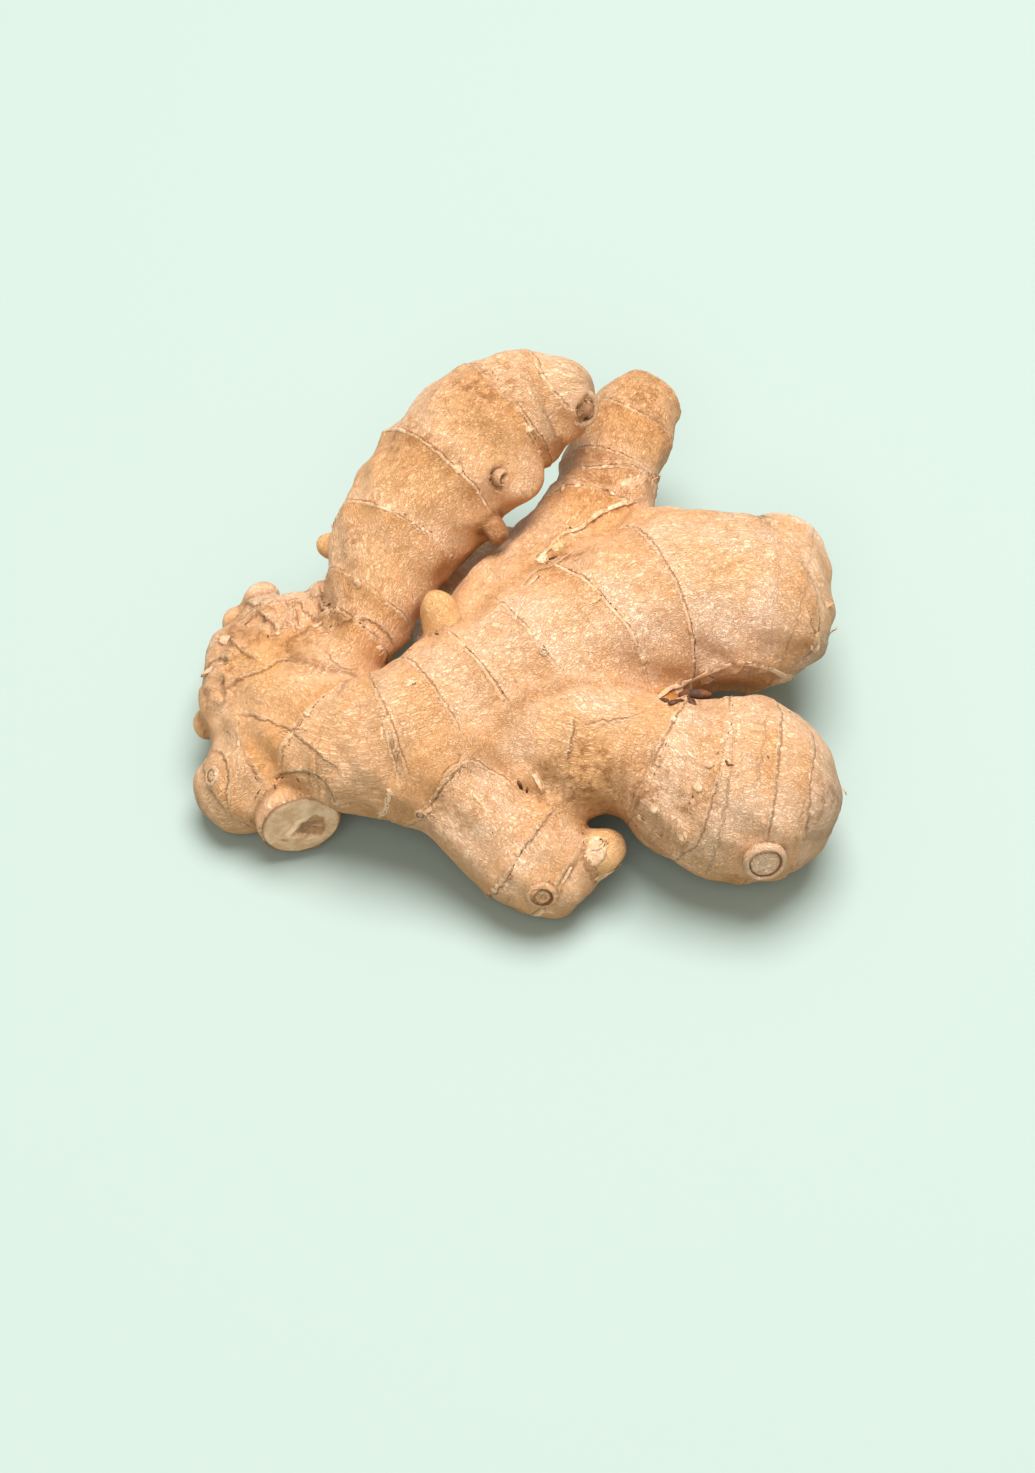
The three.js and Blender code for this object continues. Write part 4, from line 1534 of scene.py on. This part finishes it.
roundScars = {
    "rightLobeEye": {
        "lobe": "eyeRightLobe",
        "profile": [
            (0, -1.6), (4.7, -1.6), (4.75, -0.9), (4.5, -0.3), (4.2, 0.02), (3.85, 0.12), (3.6, 0.0),
            (3.42, -0.45), (3.25, -0.62), (3.1, -0.4), (2.85, -0.05), (2.3, 0.05), (1.2, 0.0), (0, -0.06),
        ],
        "groove": (3.15, 3.5),
        "shift": (-0.25, -0.25),
    },
    "frontFingerEye": {
        "lobe": "eyeFrontFinger",
        "profile": [
            (0, -1.5), (3.3, -1.5), (3.3, -0.8), (3.1, -0.35), (2.8, -0.1), (2.45, -0.05), (2.25, -0.25),
            (2.1, -0.7), (1.8, -0.72), (1.5, -0.3), (1.1, -0.15), (0.6, -0.5), (0, -0.55),
        ],
        "groove": (1.6, 2.25),
        "shift": (0.1, 0.1),
    },
    "raisedFingerEye": {
        "lobe": "eyeRaisedFinger",
        "profile": [
            (0, -1.9), (3.5, -1.9), (3.5, -0.9), (3.3, -0.3), (3.0, 0.05), (2.5, 0.12), (2.15, -0.1),
            (1.9, -0.8), (1.5, -1.25), (0.7, -1.2), (0.3, -1.0), (0, -0.95),
        ],
        "groove": (0, 2.1),
        "shift": (0.15, -0.1),
        "scale": 1.2,
        "sink": 0.8,
    },
    "raisedFingerPeg": {
        "lobe": "pegRaisedFinger",
        "profile": [
            (0, -1.9), (2.35, -1.9), (2.25, -0.8), (2.1, -0.15), (1.85, 0.15), (1.5, 0.12), (1.3, -0.15),
            (1.15, -0.6), (0.6, -0.75), (0, -0.7),
        ],
        "groove": (0.5, 1.25),
        "shift": (-0.1, -0.15),
        "scale": 0.85,
    },
}

# The same on bare skin: pixel, radius and height in mm
smallRings = [
    ((211, 776), 2.0, 0.35), ((420, 815), 1.2, 0.35), ((432, 818), 0.9, 0.25), ((858, 842), 2.4, 0.6),
    ((568, 747), 0.9, 0.25), ((544, 652), 0.8, 0.3), ((226, 848), 1.4, 0.3),
]
smallProfile = [
    (0, -0.9), (1.25, -0.9), (1.2, -0.3), (1.05, 0.25), (0.9, 0.5), (0.75, 0.45), (0.66, 0.1),
    (0.6, -0.15), (0.48, 0.1), (0.3, 0.28), (0, 0.34),
]
smallGroove = (0.5, 0.72)
ringLook = {"steps": 44, "smallSteps": 28, "ripple": 0.08, "smallRipple": 0.2, "smallHeight": 1.6}


def spinProfile(shape, profile, spot, normal, way, steps, ripple, seed, shift=(0, 0)):
    verts = [shape.verts.new((radius, 0, height)) for radius, height in profile]
    edges = [shape.edges.new(pair) for pair in zip(verts, verts[1:])]
    bmesh.ops.spin(
        shape,
        geom=verts + edges,
        cent=(0, 0, 0),
        axis=(0, 0, 1),
        angle=2 * math.pi,
        steps=steps,
        use_merge=True,
        use_duplicate=False,
    )
    bmesh.ops.remove_doubles(shape, verts=[v for v in shape.verts if not v.tag], dist=0.0005)
    side = np.cross(normal, way)
    widest = max(radius for radius, _ in profile)
    made = []
    for vertex in shape.verts:
        if vertex.tag:  # from an earlier profile
            continue
        x, y, z = vertex.co
        radius = math.hypot(x, y)
        inner = min(1, 3 * max(0, 1 - radius / widest * 1.35))
        wobble = ripple * float(jag(math.atan2(y, x), seed, 24)) * radius / widest
        x = x * (1 + wobble) + shift[0] * inner
        y = y * (1 + wobble) + shift[1] * inner
        z += 0.12 * float(jag(math.atan2(y, x) + 1, seed + 3, 20)) * min(1, radius)
        vertex.co = spot + way * x + side * y + normal * z
        vertex.tag = True
        made.append((vertex, radius))
    return made


def makeRoundScars(skinMaterial):
    shape = bmesh.new()
    foot = shape.verts.layers.float.new("scarFoot")
    grain = shape.verts.layers.float_vector.new("grain")
    made = []
    for n, values in enumerate(roundScars.values()):
        lobe = lobeNamed[values["lobe"]]
        normal = lobe["tangents"][-1]
        spot = lobe["centres"][-1] + normal * (lobe["flatEnd"][0] - values.get("sink", 0))
        scale = values.get("scale", 1)
        profile = [(radius * scale, height) for radius, height in values["profile"]]
        look = {"steps": ringLook["steps"], "ripple": ringLook["ripple"], "shift": values["shift"]}
        spun = spinProfile(shape, profile, spot, normal, levelWay(normal), seed=n + 2, **look)
        made.append((spun, scale, values["groove"]))
    for n, (pixel, radius, height) in enumerate(smallRings):
        found = pixelSpot(skinTree, pixel)
        if found is None:
            continue
        profile = [(r * radius, h * height * ringLook["smallHeight"]) for r, h in smallProfile]
        look = {"steps": ringLook["smallSteps"], "ripple": ringLook["smallRipple"]}
        spun = spinProfile(shape, profile, *found, pictureWay(0, found[1]), seed=n + 20, **look)
        made.append((spun, radius, smallGroove))
    for spun, scale, (low, high) in made:
        for vertex, radius in spun:
            vertex[foot] = 1.2 if low <= radius / scale <= high else 0
            vertex[grain] = vertex.co * 1.3
    return finishPiece(shape, "roundScars", skinMaterial)


def levelWay(normal):
    return unit(np.array((1, 0, 0)) - normal * normal[0])


def bell(value, middle, width):
    return math.exp(-(((value - middle) / width) ** 2))


def grit(x, y, scale, layer):
    return noise.noise(Vector((x * scale, y * scale, layer)))


def cutHeight(x, y):  # height over the flat face, and how torn it is there
    hx, hy = cutEnd["hollowAt"]
    angle = math.atan2(y - hy, x - hx)
    away = math.hypot(x - hx, y - hy) * (1 + 0.16 * math.sin(3 * angle + 1) + 0.08 * math.sin(7 * angle))
    inside = min(1, max(0, 1.25 - away / cutEnd["hollowSize"]) / 0.45)
    rough = grit(x, y, 1.5, 4.2) + 0.6 * grit(x, y, 3.4, 1.2)
    height = -cutEnd["hollowDepth"] * inside * (0.62 + 0.75 * rough)
    leftSide = max(0, math.cos(angle - 3.5))
    height += leftSide * (0.55 * bell(away, 4.1, 0.42) - 0.35 * bell(away, 5.0, 0.35))
    height += 0.05 * grit(x, y, 2.6, 9) + 0.10 * grit(x, y, 0.5, 3)
    sx, sy = cutEnd["slitAt"]
    slit = bell(x, sx, 0.9) * bell(y + 0.5 * (x - sx), sy, 0.28)
    return height - cutEnd["slitDepth"] * slit, min(1, inside + 0.9 * slit)


def makeCutFace():
    spot, normal = cutPlace()
    way = levelWay(normal)
    side = np.cross(normal, way)
    radius, depth = cutEnd["radius"], cutEnd["depth"]
    disc = {"segments": cutEnd["segments"], "radius1": radius, "radius2": radius, "depth": depth}
    shape = bmesh.new()
    bmesh.ops.create_cone(shape, cap_ends=True, **disc)
    bmesh.ops.translate(shape, verts=shape.verts, vec=(0, 0, -depth / 2))
    top = [face for face in shape.faces if face.normal.z > 0.9]
    step = radius / (cutEnd["rings"] + 1)
    for _ in range(cutEnd["rings"]):
        bmesh.ops.inset_region(shape, faces=top, thickness=step, use_even_offset=True)
    bmesh.ops.poke(shape, faces=top)
    torn = shape.verts.layers.float.new("torn")
    rim = shape.verts.layers.float.new("rim")
    for vertex in shape.verts:
        x, y, z = vertex.co
        height, broken = (cutHeight(x, y)) if z > -0.1 else (0, 0)
        wave = 1 + 0.018 * float(jag(math.atan2(y, x), 31, 40))
        vertex[torn] = broken
        vertex[rim] = min(1, max(0, (math.hypot(x, y) - radius + cutEnd["edgeWidth"]) / 0.3))
        height -= cutEnd["edgeDrop"] * vertex[rim]
        vertex.co = spot + way * (x * wave) + side * (y * wave) + normal * (z + height)
    return finishPiece(shape, "cutFace", makeFleshMaterial())


def makeFleshMaterial():
    material, tree, surface = newMaterial("cutFlesh")
    place = put(tree, "ShaderNodeTexCoord").outputs["Object"]
    mottle = placeGroup(tree, mottleGroup, {"Position": place, "Size": cutEnd["mottle"]})
    fibres = roughTexture(tree, place, cutEnd["fibreScale"], 3.0)[0]
    pale = calc(tree, "MULTIPLY", spread(tree, fibres, *cutEnd["fibres"]), attribute(tree, "torn"))
    base = tint(tree, mottle["Cloud"], cutEnd["flesh"], cutEnd["fleshDark"])
    masks = {"specks": mottle["Specks"], "fibres": pale}
    values = {
        "Base Color": layColours(tree, base, cutEnd["layers"], cutEnd, masks),
        "Normal": bump(tree, fibres, cutEnd["relief"]),
        "Roughness": cutEnd["roughness"],
    }
    feed(tree, surface, values)
    return material


scarRims = makeScarRims()
print("the scar rims have", len(scarRims.data.polygons), "faces")
makeFoldEdges()
makeLooseSkin()
makePits()
print("pits are in")
makeRoundScars(gingerSkin.data.materials[0])
makeCutFace()
print("round scars and the cut face are in")
